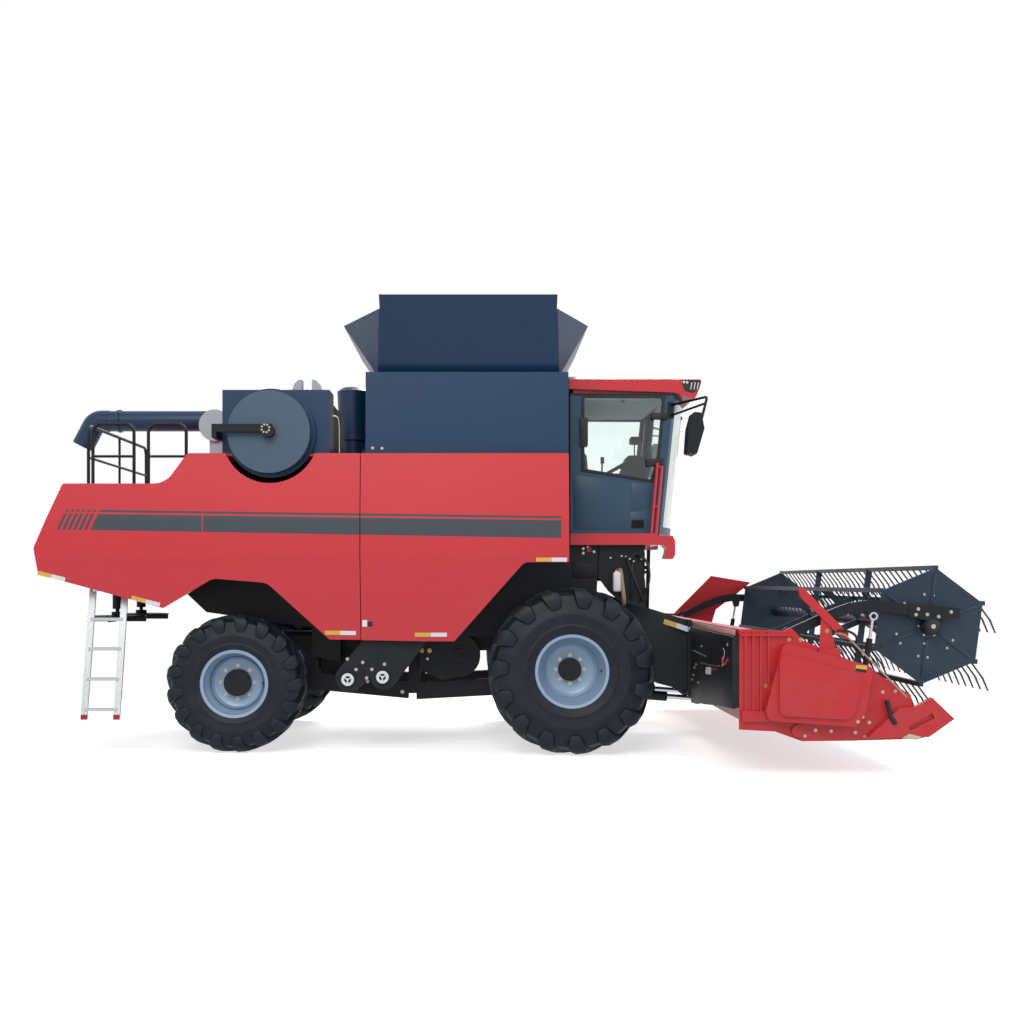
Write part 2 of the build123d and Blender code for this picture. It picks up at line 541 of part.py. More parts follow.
def flare_section(z, side, end, inset):
    """One level of the funnel, as a face."""
    sx0, sx1, sy = side
    ex0, ex1, ey = end
    sy, ey = sy - inset, ey - inset / 3
    sx0, sx1, ex0, ex1 = sx0 + inset / 3, sx1 - inset / 3, ex0 + inset, ex1 - inset
    ring = [(sx0, -sy), (sx1, -sy), (ex1, -ey), (ex1, ey), (sx1, sy), (sx0, sy), (ex0, ey), (ex0, -ey)]
    return make_face(Polyline(*[(x, y, z) for x, y in ring], close=True))


def tank_extension():
    """The opened extension: four flaps and their webs, as a funnel, with a raised lip at each side."""
    x0, x1, half = MOUTH
    fx, rx, sy = 14.0, 16.6, 30.0
    foot_side, foot_end = (x0 + rx, x1 - fx, half), (x0, x1, half - sy)
    thick = 14.0
    outer = loft([flare_section(FLARE_Z0, foot_side, foot_end, 0),
                  flare_section(FLARE_Z1, FLARE_SIDE, FLARE_END, 0)], ruled=True)
    inner = loft([flare_section(FLARE_Z0 - 0.1, foot_side, foot_end, thick),
                  flare_section(FLARE_Z1 + 0.1, FLARE_SIDE, FLARE_END, thick)], ruled=True)
    parts = [outer - inner]
    lean = (FLARE_SIDE[2] - half) / (FLARE_Z1 - FLARE_Z0)
    for side in (-1, 1):
        y, rise = FLARE_SIDE[2], LIP_Z - FLARE_Z1
        lip = cross_plate([(side * y, FLARE_Z1), (side * (y + lean * rise), LIP_Z),
                           (side * (y + lean * rise - thick), LIP_Z), (side * (y - thick), FLARE_Z1)],
                          FLARE_SIDE[0] + 8, FLARE_SIDE[1] - 8)
        parts.append(lip)
    return fuse(parts)


def engine():
    """The engine as one block on the deck behind the tank."""
    y0 = RADIATOR[3] + ENGINE_CLEAR
    return block(-2480, -1600, y0, y0 + ENGINE_W, DECK_Z, ENGINE_TOP)


def radiator_box():
    """The cooling box on the right, with the shroud ring behind the turning screen, and its axle."""
    x0, x1, y0, y1, top = RADIATOR
    ring_y = y0 - 60
    box = block(x0, x1, y0, y1, DECK_Z, top)
    ring = shaft_y(SCREEN_X, SCREEN_Z, SCREEN_R + 35, ring_y, y0) - shaft_y(SCREEN_X, SCREEN_Z, SCREEN_R - 20,
                                                                           ring_y - 1, y0 - 20)
    ring -= block(x0, x1, -DECK_HALF, 0, 2000, DECK_Z)
    axle = shaft_y(SCREEN_X, SCREEN_Z, 25, ring_y - 60, y0)
    return fuse([box, ring, axle])


def screen_duct():
    """The suction duct that crosses the screen from its rear edge to its middle."""
    y = SCREEN_Y1 - 45
    arm = block(RADIATOR[0] - DUCT_WALL + 20, SCREEN_X + 40, y - 30, y + 30, 3075, 3150)
    post = block(RADIATOR[0] - DUCT_WALL, RADIATOR[0], y - 30, RADIATOR[2] + 40, 3020, 3150)
    hub = shaft_y(SCREEN_X, SCREEN_Z, 65, y - 36, y + 30)
    return fuse([arm, post, hub]) - block(RADIATOR[0], RADIATOR[1], RADIATOR[2], 0, 3000, 3200)


SCREEN_Y0, SCREEN_Y1 = RADIATOR[2] - 70, RADIATOR[2] - 190


def rotary_screen():
    """The turning dust screen: a shallow drum with a closed face."""
    drum = shaft_y(SCREEN_X, SCREEN_Z, SCREEN_R, SCREEN_Y1, SCREEN_Y0)
    drum -= shaft_y(SCREEN_X, SCREEN_Z, SCREEN_R - 12, SCREEN_Y1 + 10, SCREEN_Y0 + 1)
    hub = shaft_y(SCREEN_X, SCREEN_Z, 60, SCREEN_Y1, SCREEN_Y0) - shaft_y(SCREEN_X, SCREEN_Z, 25 + PIN_GAP,
                                                                        SCREEN_Y1 + 20, SCREEN_Y0 + 1)
    return drum + hub


CLEANER, CLEANER_R = (-2773.0, 3239.0), 160.0      # x and z of its middle


def air_cleaner():
    """The air cleaner's round canister, lying across the deck on two feet."""
    x, z = CLEANER
    can = shaft_y(x, z, CLEANER_R, -800, -250)
    feet = [block(x - 60, x + 80, y, y + 60, DECK_Z, z - 60) for y in (-760, -360)]
    return fuse([can, *feet])


ENGINE_TOP = 3480.0
SILENCER_X, SILENCER_Z = -1857.0, ENGINE_TOP + 74
HUMP_TOP = 3722.0


def exhaust():
    """The silencer lying on the engine, with two round-shouldered shields over its end, and the tail pipe."""
    x, z = SILENCER_X, SILENCER_Z
    can = shaft_y(x, z, 72, -640, 250)
    humps = [side_plate([(x + side * 51, ENGINE_TOP), (x + side * 51, HUMP_TOP),
                         (x + side * 90, HUMP_TOP - 6),
                         (x + side * 128, HUMP_TOP - 42), (x + side * 154, HUMP_TOP - 110),
                         (x + side * 154, ENGINE_TOP)], -680, -560) for side in (-1, 1)]
    saddle = block(x - 60, x + 60, -600, -560, ENGINE_TOP, z) + block(x - 60, x + 60, 100, 160, ENGINE_TOP, z)
    pipe = bent_tube([(x, 200, z), (x, 480, z), (x, 480, 3780)], 42, 70)
    return fuse([can, *humps, saddle, pipe])


def unloader_turret():
    """The upright auger housing on the deck's left, that the unloading tube turns on."""
    return fuse([shaft_z(TURRET_X, TURRET_Y, TURRET_R, DECK_Z, TURRET_Z),
                 shaft_z(TURRET_X, TURRET_Y, TURRET_R + 30, TURRET_Z - 30, TURRET_Z),
                 block(TURRET_X, TANK_X0, TURRET_Y - 110, TURRET_Y + 110, DECK_Z, 3200)])


SPOUT_X = -4480.0         # where the tube turns down into the spout


def unloader_tube():
    """The unloading tube stowed along the left side, from its elbow on the turret to the spout."""
    low, high = TURRET_Z + PIN_GAP, ELBOW_TOP - 45
    elbow = Pos(TURRET_X, TURRET_Y, (low + high) / 2) * Cone(TURRET_R, ELBOW_R, high - low)
    elbow += Pos(TURRET_X, TURRET_Y, (high + ELBOW_TOP) / 2) * Cone(ELBOW_R, ELBOW_R - 60, ELBOW_TOP - high)
    elbow += shaft_z(TURRET_X, TURRET_Y, TURRET_R + 30, TURRET_Z + PIN_GAP, TURRET_Z + 30)
    tube = bar((TURRET_X, TURRET_Y, TUBE_Z), (SPOUT_X, TURRET_Y, TUBE_Z), TUBE_R)
    collar = bar((SPOUT_X + 135, TURRET_Y, TUBE_Z), (SPOUT_X + 170, TURRET_Y, TUBE_Z), TUBE_R + 14)
    spout_path = FilletPolyline((SPOUT_X + 30, TURRET_Y, TUBE_Z), (SPOUT_X - 130, TURRET_Y, TUBE_Z),
                                (SPOUT_X - 285, TURRET_Y, 3248), radius=120)
    start = Plane(origin=spout_path @ 0, z_dir=spout_path % 0)
    spout = sweep(start * Circle(TUBE_R + 6), path=spout_path)
    bore = sweep(Plane(origin=spout_path @ 1, z_dir=spout_path % 1) * Circle(TUBE_R - 8),
                 path=Line(spout_path @ 1, spout_path @ 1 - (spout_path % 1) * 240))
    return fuse([elbow, tube, collar, spout]) - bore


# ---------------------------------------------------------------- rails and ladders
RAIL_TUBE_R = 16.0


def deck_rails():
    """Guard rails of the tail deck, both sides, on the deck."""
    r = RAIL_TUBE_R
    y, z0 = -DECK_HALF + 150, TAIL_DECK_Z
    right, left = y + 100, DECK_HALF - 450
    rear = [(-3873, y, z0), (-3873, y, 3196), (-3471, y, 3196), (-3471, y, z0)]
    fore = [(-3330, y, z0), (-3330, y, 3196), (-2960, y, 3196), (-2960, y, z0)]
    parts = [bent_tube(rear, r, 90), bent_tube(fore, r, 90),
             bar((-3873, y, 2880), (-3471, y, 2880), r - 3), bar((-3330, y, 2880), (-2960, y, 2880), r - 3)]
    mid = (right + left) / 2
    across = [(-3950, right, z0), (-3950, right, 3196), (-3950, left, 3196), (-3950, left, z0)]
    parts += [bent_tube(across, r, 90), bar((-3950, right, 2880), (-3950, left, 2880), r - 3),
              bar((-3950, mid, z0), (-3950, mid, 3190), r - 3)]
    return fuse(parts)


def rear_ladder():
    """The light ladder hung behind the right tail panel."""
    foot, top = (-DECK_HALF - 150, 335.0), (-DECK_HALF + 160, 1760.0)
    parts = []
    for x in (-3860, -3548):
        parts.append(box_beam((x, foot[0], foot[1]), (x, top[0], top[1]), 25, 62))
    for i in range(5):
        t = (i + 0.35) / 5
        y, z = foot[0] + (top[0] - foot[0]) * t, foot[1] + (top[1] - foot[1]) * t
        parts.append(Pos(-3704, y, z) * Box(312, 45, 30))
    for x in (-3860, -3548):
        z = TAIL_BEAM[0][1] + (x - TAIL_BEAM[0][0]) * (TAIL_BEAM[1][1] - TAIL_BEAM[0][1]) / (
            TAIL_BEAM[1][0] - TAIL_BEAM[0][0])
        parts.append(block(x - 12, x + 12, -TAIL_BEAM_Y, top[0] + 10, z + 12, z + 55))
    return fuse(parts)


# ---------------------------------------------------------------- cab
CAB_WALL = 45.0
WIND_BASE, WIND_TOP, WIND_BULGE = 1731.0, 1878.0, 216.0      # the windscreen's side x, low and high, its bow
WINDOW = [(948, 2779), (1655, 2668), (1722, 2890), (1783, 3535), (948, 3545)]
DOOR_OUTLINE = [(965, 2190), (1676, 2190), (1816, 3540), (947, 3545)]


def cab_plan(x_side, z, inset):
    """A level of the cab, as a face: three flat sides and a bowed front."""
    half = CAB_HALF - inset
    back, side, nose = CAB_X0 + inset, x_side - inset * 0.7, x_side + WIND_BULGE - inset
    front = ThreePointArc((side, -half, z), (nose, 0, z), (side, half, z))
    walls = Polyline((side, half, z), (back, half, z), (back, -half, z), (side, -half, z))
    return make_face(Wire([*front.edges(), *walls.edges()]))


def cab_block(inset, z0, z1):
    """The cab's outer shape drawn in by inset, between two heights."""
    rate = (WIND_TOP - WIND_BASE) / (CAB_TOP - CAB_FLOOR)
    return loft([cab_plan(WIND_BASE + rate * (z - CAB_FLOOR), z, inset) for z in (z0, z1)], ruled=True)


def windscreen_cut():
    return block(1500, 2300, -CAB_HALF + 70, CAB_HALF - 70, CAB_FLOOR + 70, CAB_TOP - 55)


def cab_frame():
    """The cab's shell with its windows and doorway cut."""
    shell = cab_block(0, CAB_FLOOR, CAB_TOP) - cab_block(CAB_WALL, CAB_FLOOR + 40, CAB_TOP - 30)
    shell -= windscreen_cut()
    shell -= side_plate(WINDOW, -CAB_HALF - 5, -CAB_HALF + 100, radii=60)
    shell -= side_plate(DOOR_OUTLINE, CAB_HALF - 100, CAB_HALF + 5, radii=60)
    x, y = DOOR_HINGE
    for z in DOOR_EYES:
        shell += shaft_z(x, y, DOOR_PIN_R, z - 60, z + 60)
        for z0 in (z - 60, z + 30 + PIN_GAP):
            shell += block(x - 40, x - 24, CAB_HALF - 10, y + 8, z0, z0 + 30 - PIN_GAP)
            shell += block(x - 30, x + 9, y - 12, y + 8, z0, z0 + 30 - PIN_GAP)
    return shell


def cab_glass():
    """Windscreen and right window, set in the middle of the frame."""
    screen = (cab_block(15, CAB_FLOOR + 1, CAB_TOP - 1) - cab_block(22, CAB_FLOOR,
                                                                    CAB_TOP)) & windscreen_cut()
    window = side_plate(WINDOW, -CAB_HALF + 12, -CAB_HALF + 18, radii=60)
    return screen + window


ROOF_EDGE, ROOF_CROWN = 3700.0, 3878.0
ROOF_HALF = 830.0


def cab_roof():
    """The roof, crowned from side to side, with its visor over the windscreen and the lamp recesses."""
    roof = side_plate([(816, 3603), (1300, 3585), (1878, CAB_TOP + 4), (2040, 3509), (2075, 3498),
                       (2104, 3533), (2152, 3668), (2120, 3790), (1960, ROOF_CROWN),
                       (1028, ROOF_CROWN), (816, 3780)], -ROOF_HALF, ROOF_HALF)
    crown = [(-ROOF_HALF, ROOF_EDGE), (-560, ROOF_EDGE + 68), (-260, ROOF_EDGE + 126), (0, ROOF_CROWN)]
    crown += [(-y, z) for y, z in reversed(crown[:-1])]
    roof &= cross_plate([(-ROOF_HALF, 3450), *crown, (ROOF_HALF, 3450)], 800, 2200)
    shape = roof + cab_block(30, CAB_TOP, CAB_TOP + 60)
    for y in ROOF_LAMPS:
        shape -= block(LAMP_BACK, 2200, y - 85, y + 85, 3570, 3690)
    return shape - cab_block(-2, 3400, CAB_TOP) - block(CAB_X0 - 40, 1700, -900, 900, 3400, CAB_TOP)


ROOF_LAMPS = (-700.0, -500.0, 500.0, 700.0)
LAMP_BACK = 2060.0


def lamps():
    """Work lamps in the roof's front, and the tail lamps."""
    face = [(LAMP_BACK, 3582), (2112, 3582), (2138, 3678), (LAMP_BACK, 3678)]
    parts = [side_plate(face, y - 70, y + 70) for y in ROOF_LAMPS]
    for side in (-1, 1):
        y = side * (DECK_HALF - 200)
        parts.append(block(TAIL_X - 18, TAIL_X + 44, y - 90, y + 90, 2020, 2110)
                     - side_plate([(TAIL_X + 44, 1900), (TAIL_X, TAIL_BEND_Z), (TAIL_TOP_X, TAIL_DECK_Z),
                                   (TAIL_TOP_X, 1900)],
                                  -DECK_HALF, DECK_HALF))
    return fuse(parts)


DOOR_HINGE = (985.0, CAB_HALF + 22.0)     # upright hinge line of the cab door: x, y
DOOR_EDGE = 4.0
DOOR_EYES = (2400.0, 3300.0)
DOOR_PIN_R = 8.0


def cab_door():
    """The left door's frame with its glass opening, and two hinge eyes at its rear edge."""
    (rear_low, low), (front_low, _), (front_high, high), (rear_high, rear_top) = DOOR_OUTLINE
    inset = [(rear_low + 26, low + DOOR_EDGE), (front_low - 5, low + DOOR_EDGE),
             (front_high - 6, high - DOOR_EDGE),
             (rear_high + 26, rear_top - DOOR_EDGE)]
    door = side_plate(inset, CAB_HALF - CAB_WALL + 4, CAB_HALF, radii=50)
    door -= side_plate(DOOR_GLASS, CAB_HALF - 100, CAB_HALF + 10, radii=40)
    x, y = DOOR_HINGE
    for z in DOOR_EYES:
        door += shaft_z(x, y, 15, z - 30, z + 30)
        door += block(x, x + 60, CAB_HALF - 2, y + 6, z - 25, z + 25)
        door -= shaft_z(x, y, DOOR_PIN_R + FIT, z - 31, z + 31)
    return door


DOOR_GLASS = [(1050, 2290), (1645, 2290), (1775, 3506), (1035, 3510)]


def door_glass():
    return side_plate(DOOR_GLASS, CAB_HALF - 26, CAB_HALF - 20, radii=40)


def seat():
    """The driver's seat with its pedestal and armrest."""
    floor = CAB_FLOOR + 40
    return fuse([block(1050, 1400, -180, 180, floor, floor + 300),
                 block(980, 1490, -250, 250, floor + 300, floor + 440),
                 side_plate([(960, floor + 400), (1090, floor + 400), (1010, floor + 1080),
                             (900, floor + 1080)],
                            -240, 240, radii=35)])


def controls():
    """Steering column with its wheel, and the right-hand console with its lever."""
    floor = CAB_FLOOR + 40
    column = side_plate([(1590, floor), (1700, floor), (1700, 2640), (1672, 2960), (1642, 3009), (1513, 3009),
                         (1481, 2983), (1428, 2830), (1560, 2700)], -90, 90)
    hub = (1440.0, 0, 2905.0)
    tilt = Plane(origin=hub, z_dir=Vector(-280, 0, 520))
    wheel = tilt * (Torus(190, 15) + Box(380, 40, 14) + Cylinder(50, 30)) + bar(hub, (1520, 0, 2780), 26)
    posts = [bar((x, 0, 3000), (x, 0, 3150), 7) for x in (1584, 1640)]
    monitor = side_plate([(1532, 3137), (1667, 3137), (1667, 3214), (1532, 3214)], -60, 60, radii=20)
    console = block(1100, 1400, -480, -280, floor, floor + 600)
    lever = bar((1190, -380, floor + 590), (1197, -380, floor + 740), 9) + shaft_z(1198, -380, 20,
                                                                                   floor + 715, floor + 780)
    return fuse([column, wheel, *posts, monitor, console, lever])


def cab_platform():
    """The deck under the cab with its red side bands, the left landing and the front lobe."""
    parts = [block(CAB_X0 - 4, 1700, -880, CAB_HALF, PLATFORM_Z, CAB_FLOOR),
             block(CAB_X0 - 4, LANDING_X1, CAB_HALF, LANDING_Y, PLATFORM_Z, PLATFORM_Z + 60),
             side_plate([(1615, 2115), (1615, PLATFORM_Z), (1753, PLATFORM_Z), (1792, 1985), (1788, 1940),
                         (1768, 1883), (1855, 1883), (1879, 1925), (1879, 2060), (1855, 2115)],
                        -880, -700, radii=8),
             block(1690, 1740, -700, CAB_HALF, PLATFORM_Z, CAB_FLOOR)]
    return fuse(parts)


LANDING_RAIL_Z = 2800.0
LADDER_X0 = 1622.0         # just ahead of the left wheel


def valve_rack():
    """The rack under the platform: the oil tank, the valve bank and the side sheet that the hoses lie on."""
    y0, y1 = -BODY_HALF - 10, -BODY_HALF + 25
    sheet = side_plate([(1125, PLATFORM_Z), (1600, PLATFORM_Z), (1556, 1890), (1590, 1650), (1600, 1380),
                        (1330, 1455), (1215, 1560), (1113, 1700)], y0, y1)
    tank = block(1125, 1540, y1, -260, 1660, PLATFORM_Z)
    valves = block(1540, 1600, y1 + 60, -430, 1720, 1960)
    spools = [bar((1600, y1 + 100 + 55 * i, 1800), (1640, y1 + 100 + 55 * i, 1800), 18) for i in range(4)]
    return fuse([sheet, tank, valves, *spools])


def access_ladder():
    """The steps up to the left landing, in front of the left wheel, with their handrails."""
    foot, top = (1560.0, 430.0), (1290.0, PLATFORM_Z)
    parts = []
    rear, front = LADDER_X0, LANDING_X1 - 40
    for x in (rear, front):
        parts.append(box_beam((x, foot[0], foot[1]), (x, top[0], top[1] + 30), 30, 40))
    deck = PLATFORM_Z + 60
    parts.append(shaft_z(rear, 1295, RAIL_TUBE_R, PLATFORM_Z + 20, LANDING_RAIL_Z))
    x = LANDING_X1 - 18
    parts.append(bent_tube([(x, 1290, PLATFORM_Z + 20), (x, 1290, LANDING_RAIL_Z), (x, 1050, LANDING_RAIL_Z),
                            (x, 1050, deck)], RAIL_TUBE_R, 60))
    for i in range(5):
        t = (i + 0.2) / 5
        y, z = foot[0] + (top[0] - foot[0]) * t, foot[1] + (top[1] - foot[1]) * t
        parts.append(block(rear - 10, front + 10, y - 70, y + 50, z - 15, z + 15))
    return fuse(parts) - block(CAB_X0, LANDING_X1, CAB_HALF, LANDING_Y, PLATFORM_Z, deck)


def front_handrail():
    """The red double handrail at the cab's right front corner."""
    y = -862.0
    left, right = [(1639, y, 2120), (1703, y, 2849)], [(1686, y, 2120), (1749, y, 2819)]
    rails = fuse([bar(*left, 15), bar(*right, 15), bar((1700, y, 2820), (1747, y, 2800), 12),
                  bar((1665, y, 2420), (1713, y, 2408), 10)])
    return rails - block(1500, 1800, y - 50, y + 50, 2000, CAB_FLOOR)


def mirrors():
    """The two outside mirrors, each on two bent tubes from the cab's front corner."""
    pairs = []
    for side in (-1, 1):
        y = side * 1300
        head = side_plate([(1965, 3286), (2045, 3281), (2073, 3127), (1999, 2875), (1908, 2898),
                           (1925, 3138)], y - 110,
                          y + 110, radii=20)
        foot = side * (CAB_HALF + 3)
        upper = bent_tube([(2052, y, 3180), (2120, y, 3450), (1850, foot, 3440)], 13, 30)
        lower = bar((2103, y, 3385), (1850, foot, 3335), 11)
        plate = block(1815, 1875, *sorted((side * CAB_HALF, side * (CAB_HALF + 8))), 3305, 3470)
        pairs.append(fuse([head, upper, lower, plate]))
    return (pairs[0] + pairs[1]) - block(CAB_X0, 2000, -CAB_HALF, CAB_HALF, 3200, CAB_TOP)


# ---------------------------------------------------------------- feeder and header
FEEDER_FACE = 2085.0
END_IN, END_OUT = HEADER_HALF - 20, HEADER_HALF
TROUGH_R = AUGER_R + 22
AUGER_SHAFT_R = 35.0
SHEET_T = 12.0
ARM_Y = END_IN - 70.0
ARM_PIVOT = (2545.0, 1204.0)


def feeder_house():
    """The feeder house, round at its rear about its hinge, hollow towards the header, with the lift lugs."""
    px, pz = FEEDER_PIVOT
    shell = side_plate([(px - 60, pz + 206), (px + 70, pz + 203), (1357, 1471), (FEEDER_FACE, 1248),
                        (FEEDER_FACE, 518), (1732, 610), (px + 100, pz - 190), (px - 60, pz - 206)],
                       -FEEDER_HALF, FEEDER_HALF)
    round_end = shaft_y(px, pz, FEEDER_R, -FEEDER_HALF, FEEDER_HALF)
    throat = side_plate([(1450, 1400), (FEEDER_FACE + 1, 1205), (FEEDER_FACE + 1, 560), (1760, 645),
                         (1450, 900)],
                        -FEEDER_HALF + 30, FEEDER_HALF - 30)
    flange = block(FEEDER_FACE - 40, FEEDER_FACE, -FEEDER_HALF - 60, FEEDER_HALF + 60, 500, 1265)
    flange -= block(FEEDER_FACE - 41, FEEDER_FACE + 1, -FEEDER_HALF + 30, FEEDER_HALF - 30, 560, 1205)
    house = fuse([shell, round_end]) - throat + flange
    house += shaft_y(px, pz, HINGE_SHAFT_R, -CHEEK_Y - 45, CHEEK_Y + 45)
    x, z = LIFT_HIGH
    for side in (-1, 1):
        for y in (side * LIFT_Y - 55, side * LIFT_Y + 30):
            house += side_plate([(1960, 560), (FEEDER_FACE, 540), (FEEDER_FACE, 500), (x + 40, z + 20),
                                 (x + 30, z - 40),
                                 (x - 40, z - 40)], y, y + 25)
        house += shaft_y(x, z, 22, side * LIFT_Y - 60, side * LIFT_Y + 60)
    return house


def trough(radius, start, end, step=15):
    """Points along the auger's trough, from one angle to another."""
    return [(AUGER_X + radius * math.cos(math.radians(a)), AUGER_Z + radius * math.sin(math.radians(a)))
            for a in range(start, end + step, step)]


def header_frame():
    """The header's back sheet, trough and floor, with its top and bottom tubes and the feeder opening."""
    lower = [(2150, 1236), (2330, 860)] + trough(TROUGH_R + SHEET_T, 180,
                                                 270) + [(KNIFE_X, HEADER_FLOOR + 14)]
    upper = [(KNIFE_X, HEADER_FLOOR + 26)] + list(reversed(trough(TROUGH_R, 180, 270))) + [(2345, 860),
                                                                                           (2165, 1236)]
    sheet = side_plate(lower + upper, -END_IN, END_IN)
    tubes = [block(2110, 2230, -END_IN, END_IN, 1130, 1250), block(2290, 2400, -END_IN, END_IN, 390, 510),
             block(AUGER_X + 10, KNIFE_X - 140, -END_IN, END_IN, HEADER_FLOOR, HEADER_FLOOR + 16),
             block(KNIFE_X - 100, KNIFE_X, -END_IN, END_IN, HEADER_FLOOR, HEADER_FLOOR + 26)]
    posts = [block(2110, 2200, side * 660 - 50, side * 660 + 50, 500, 1140) for side in (-1, 1)]
    feet = [block(2110, 2300, side * 660 - 50, side * 660 + 50, 420, 510) for side in (-1, 1)]
    seat_plate = block(FEEDER_FACE, 2112, -700, 700, 470, 1250)
    frame = fuse([sheet, *tubes, *posts, *feet, seat_plate])
    frame -= block(2080, 2500, -FEEDER_HALF + 40, FEEDER_HALF - 40, 560, 1130)
    frame -= block(2250, 2384, -FEEDER_HALF + 40, FEEDER_HALF - 40, 511, 600)
    frame -= block(2080, 2285, -LIFT_Y - 75, LIFT_Y + 75, 380, 561)
    frame -= shaft_y(AUGER_X, AUGER_Z, TROUGH_R, -END_IN, END_IN)
    return frame


END_SHEET = [(2110, 400), (2413, 384), (2640, 302), (3071, 306), (3645, 323), (3912, 497), (3727, 672),
             (3584, 590), (3563, 692), (3234, 907), (3020, 1000), (2630, 1164), (2600, 1215), (2545, 1264),
             (2490, 1236), (2110, 1250)]
COVER = [(2461, 1144), (3214, 939), (3153, 569), (3071, 436), (2332, 486), (2311, 569)]


DIVIDER = [(3165, 325), (3700, 345), (3912, 497), (3727, 672), (3584, 600), (3450, 585)]


def header_ends():
    """The end sheets: pins of the reel arms, drive covers, dividers and the guard of the reel's drive."""
    sheet = side_plate(END_SHEET, -END_OUT, -END_IN)
    cover = side_plate(COVER, -END_OUT - 105, -END_OUT, radii=55)
    cover += side_plate([(2420, 1060), (3120, 870), (3060, 570), (2990, 500), (2420, 530)], -END_OUT - 130,
                        -END_OUT - 100, radii=60)
    for x in (2160, 2225, 2290, 2355):
        cover += block(x - 9, x + 9, -END_OUT - 22, -END_OUT, 560, 1225)
    cover += block(2110, 2560, -END_OUT - 34, -END_OUT, 1195, 1213)
    cover += block(2130, 2420, -END_OUT - 30, -END_OUT, 470, 560)
    cover += shaft_y(2605, 391, 55, -END_OUT - 26, -END_OUT)
    pin = shaft_y(*ARM_PIVOT, ARM_PIN_R, -END_IN - 1, -ARM_Y + 30)
    divider = side_plate(DIVIDER, -END_OUT - 55, -END_OUT)
    divider -= side_plate([(3520, 430), (3540, 400), (3745, 505), (3725, 545)], -END_OUT - 60, -END_OUT - 30)
    nose = side_plate([(3645, 330), (3700, 345), (3912, 497), (3800, 590)], -END_OUT - 20, -END_IN)
    right = fuse([sheet, cover, pin, divider, nose])
    right -= shaft_y(AUGER_X, AUGER_Z, AUGER_SHAFT_R + FIT, -END_OUT, END_OUT)
    right += shaft_y(*REEL_CYL_LOW, REEL_PIN_R, -END_IN - 1, -REEL_CYL_Y + 26)
    left = flip(right)
    guard = side_plate([(2608, 1605), (2650, 1600), (3030, 1215), (3020, 1165), (2960, 1190), (2625, 1520)],
                       -END_OUT - 25, -END_OUT + 15)
    bracket = side_plate([(2800, 1350), (2880, 1270), (2960, 950), (2780, 960)], -END_OUT - 8, -END_OUT)
    bracket += side_plate([(2780, 1010), (2960, 960), (2960, 1090), (2780, 1090)], -END_OUT - 30, -END_OUT)
    right = fuse([right, guard, bracket])
    wing = side_plate([(2425, 1190), (2960, 1730), (3477, 1645), (3300, 1500), (3020, 1290), (2900, 900),
                       (2500, 1050)],
                      END_OUT + 20, END_OUT + 60, radii=None)
    stay = block(2500, 2900, END_OUT - 1, END_OUT + 21, 1060, 1120)
    left = fuse([left, wing, stay])
    return right, left


ARM_PIN_R = 24.0
REEL_PIN_R = 16.0
REEL_SHAFT_R = 30.0
REEL_CYL_LOW = (3160.0, 720.0)
REEL_CYL_HIGH = (3262.0, 1360.0)
REEL_CYL_Y = END_IN - 32.0
REEL_EYE_PLAY = 5.0
REEL_BARREL, REEL_ROD = 455.0, 488.0


GUARD_PITCH = 76.2


def cutter_bar():
    """The cutter bar at the front of the header's floor, with its row of pointed guards."""
    z0, z1 = HEADER_FLOOR + 4, HEADER_FLOOR + 36
    ledge = block(KNIFE_X, KNIFE_X + 45, -END_IN, END_IN, z0, z1)
    count = int((2 * END_IN - 80) / GUARD_PITCH)
    guards = []
    for i in range(count + 1):
        y = GUARD_PITCH * (i - count / 2)
        guards.append(side_plate([(KNIFE_X + 40, z0), (KNIFE_X + 80, z0), (KNIFE_X + 150, z0 + 22),
                                  (KNIFE_X + 60, z1 + 8), (KNIFE_X + 40, z1 + 8)], y - 11, y + 11))
    return ledge.fuse(*guards)


AUGER_DRUM_R = 200.0
FLIGHT_PITCH = 520.0
FLIGHT_STEP = 20          # degrees between a flight's stations


def flight(start, turns, hand):
    """One auger flight about Y as a thin faceted helix, from y = start towards the middle."""
    inner, outer, thick = AUGER_DRUM_R - 6, AUGER_R, 10.0
    count = int(360 * turns / FLIGHT_STEP)
    rings = []
    for i in range(count + 1):
        angle = math.radians(FLIGHT_STEP * i)
        y = start - math.copysign(FLIGHT_PITCH * FLIGHT_STEP * i / 360, start)
        cx, cz = math.cos(angle), math.sin(angle) * hand
        rings.append([(r * cx, y + dy, r * cz) for r, dy in
                      ((inner, -thick / 2), (outer, -thick / 2), (outer, thick / 2), (inner, thick / 2))])
    faces = []
    for a, b in zip(rings, rings[1:]):
        for k in range(4):
            m = (k + 1) % 4
            faces.append(Face(Wire.make_polygon([a[k], a[m], b[m]], close=True)))
            faces.append(Face(Wire.make_polygon([a[k], b[m], b[k]], close=True)))
    faces += [Face(Wire.make_polygon(rings[0], close=True)), Face(Wire.make_polygon(rings[-1], close=True))]
    return Solid(Shell(faces))


def header_auger():
    """The header's auger: a drum with a flight from each end, fingers in its middle, and stub shafts."""
    half = END_IN - RUN_GAP
    drum = shaft_y(0, 0, AUGER_DRUM_R, -half, half)
    flights = [flight(side * (half - 8), 3.9, side) for side in (-1, 1)]
    fingers = []
    for i in range(14):
        angle = math.radians(i * 360 / 7 * 1.5)
        y = -520 + i * 80
        fingers.append(bar((0, y, 0), (AUGER_R * math.cos(angle), y, AUGER_R * math.sin(angle)), 8))
    screw = fuse([drum, shaft_y(0, 0, AUGER_SHAFT_R, -END_OUT + 1, END_OUT - 1), *flights, *fingers])
    return Pos(AUGER_X, 0, AUGER_Z) * screw


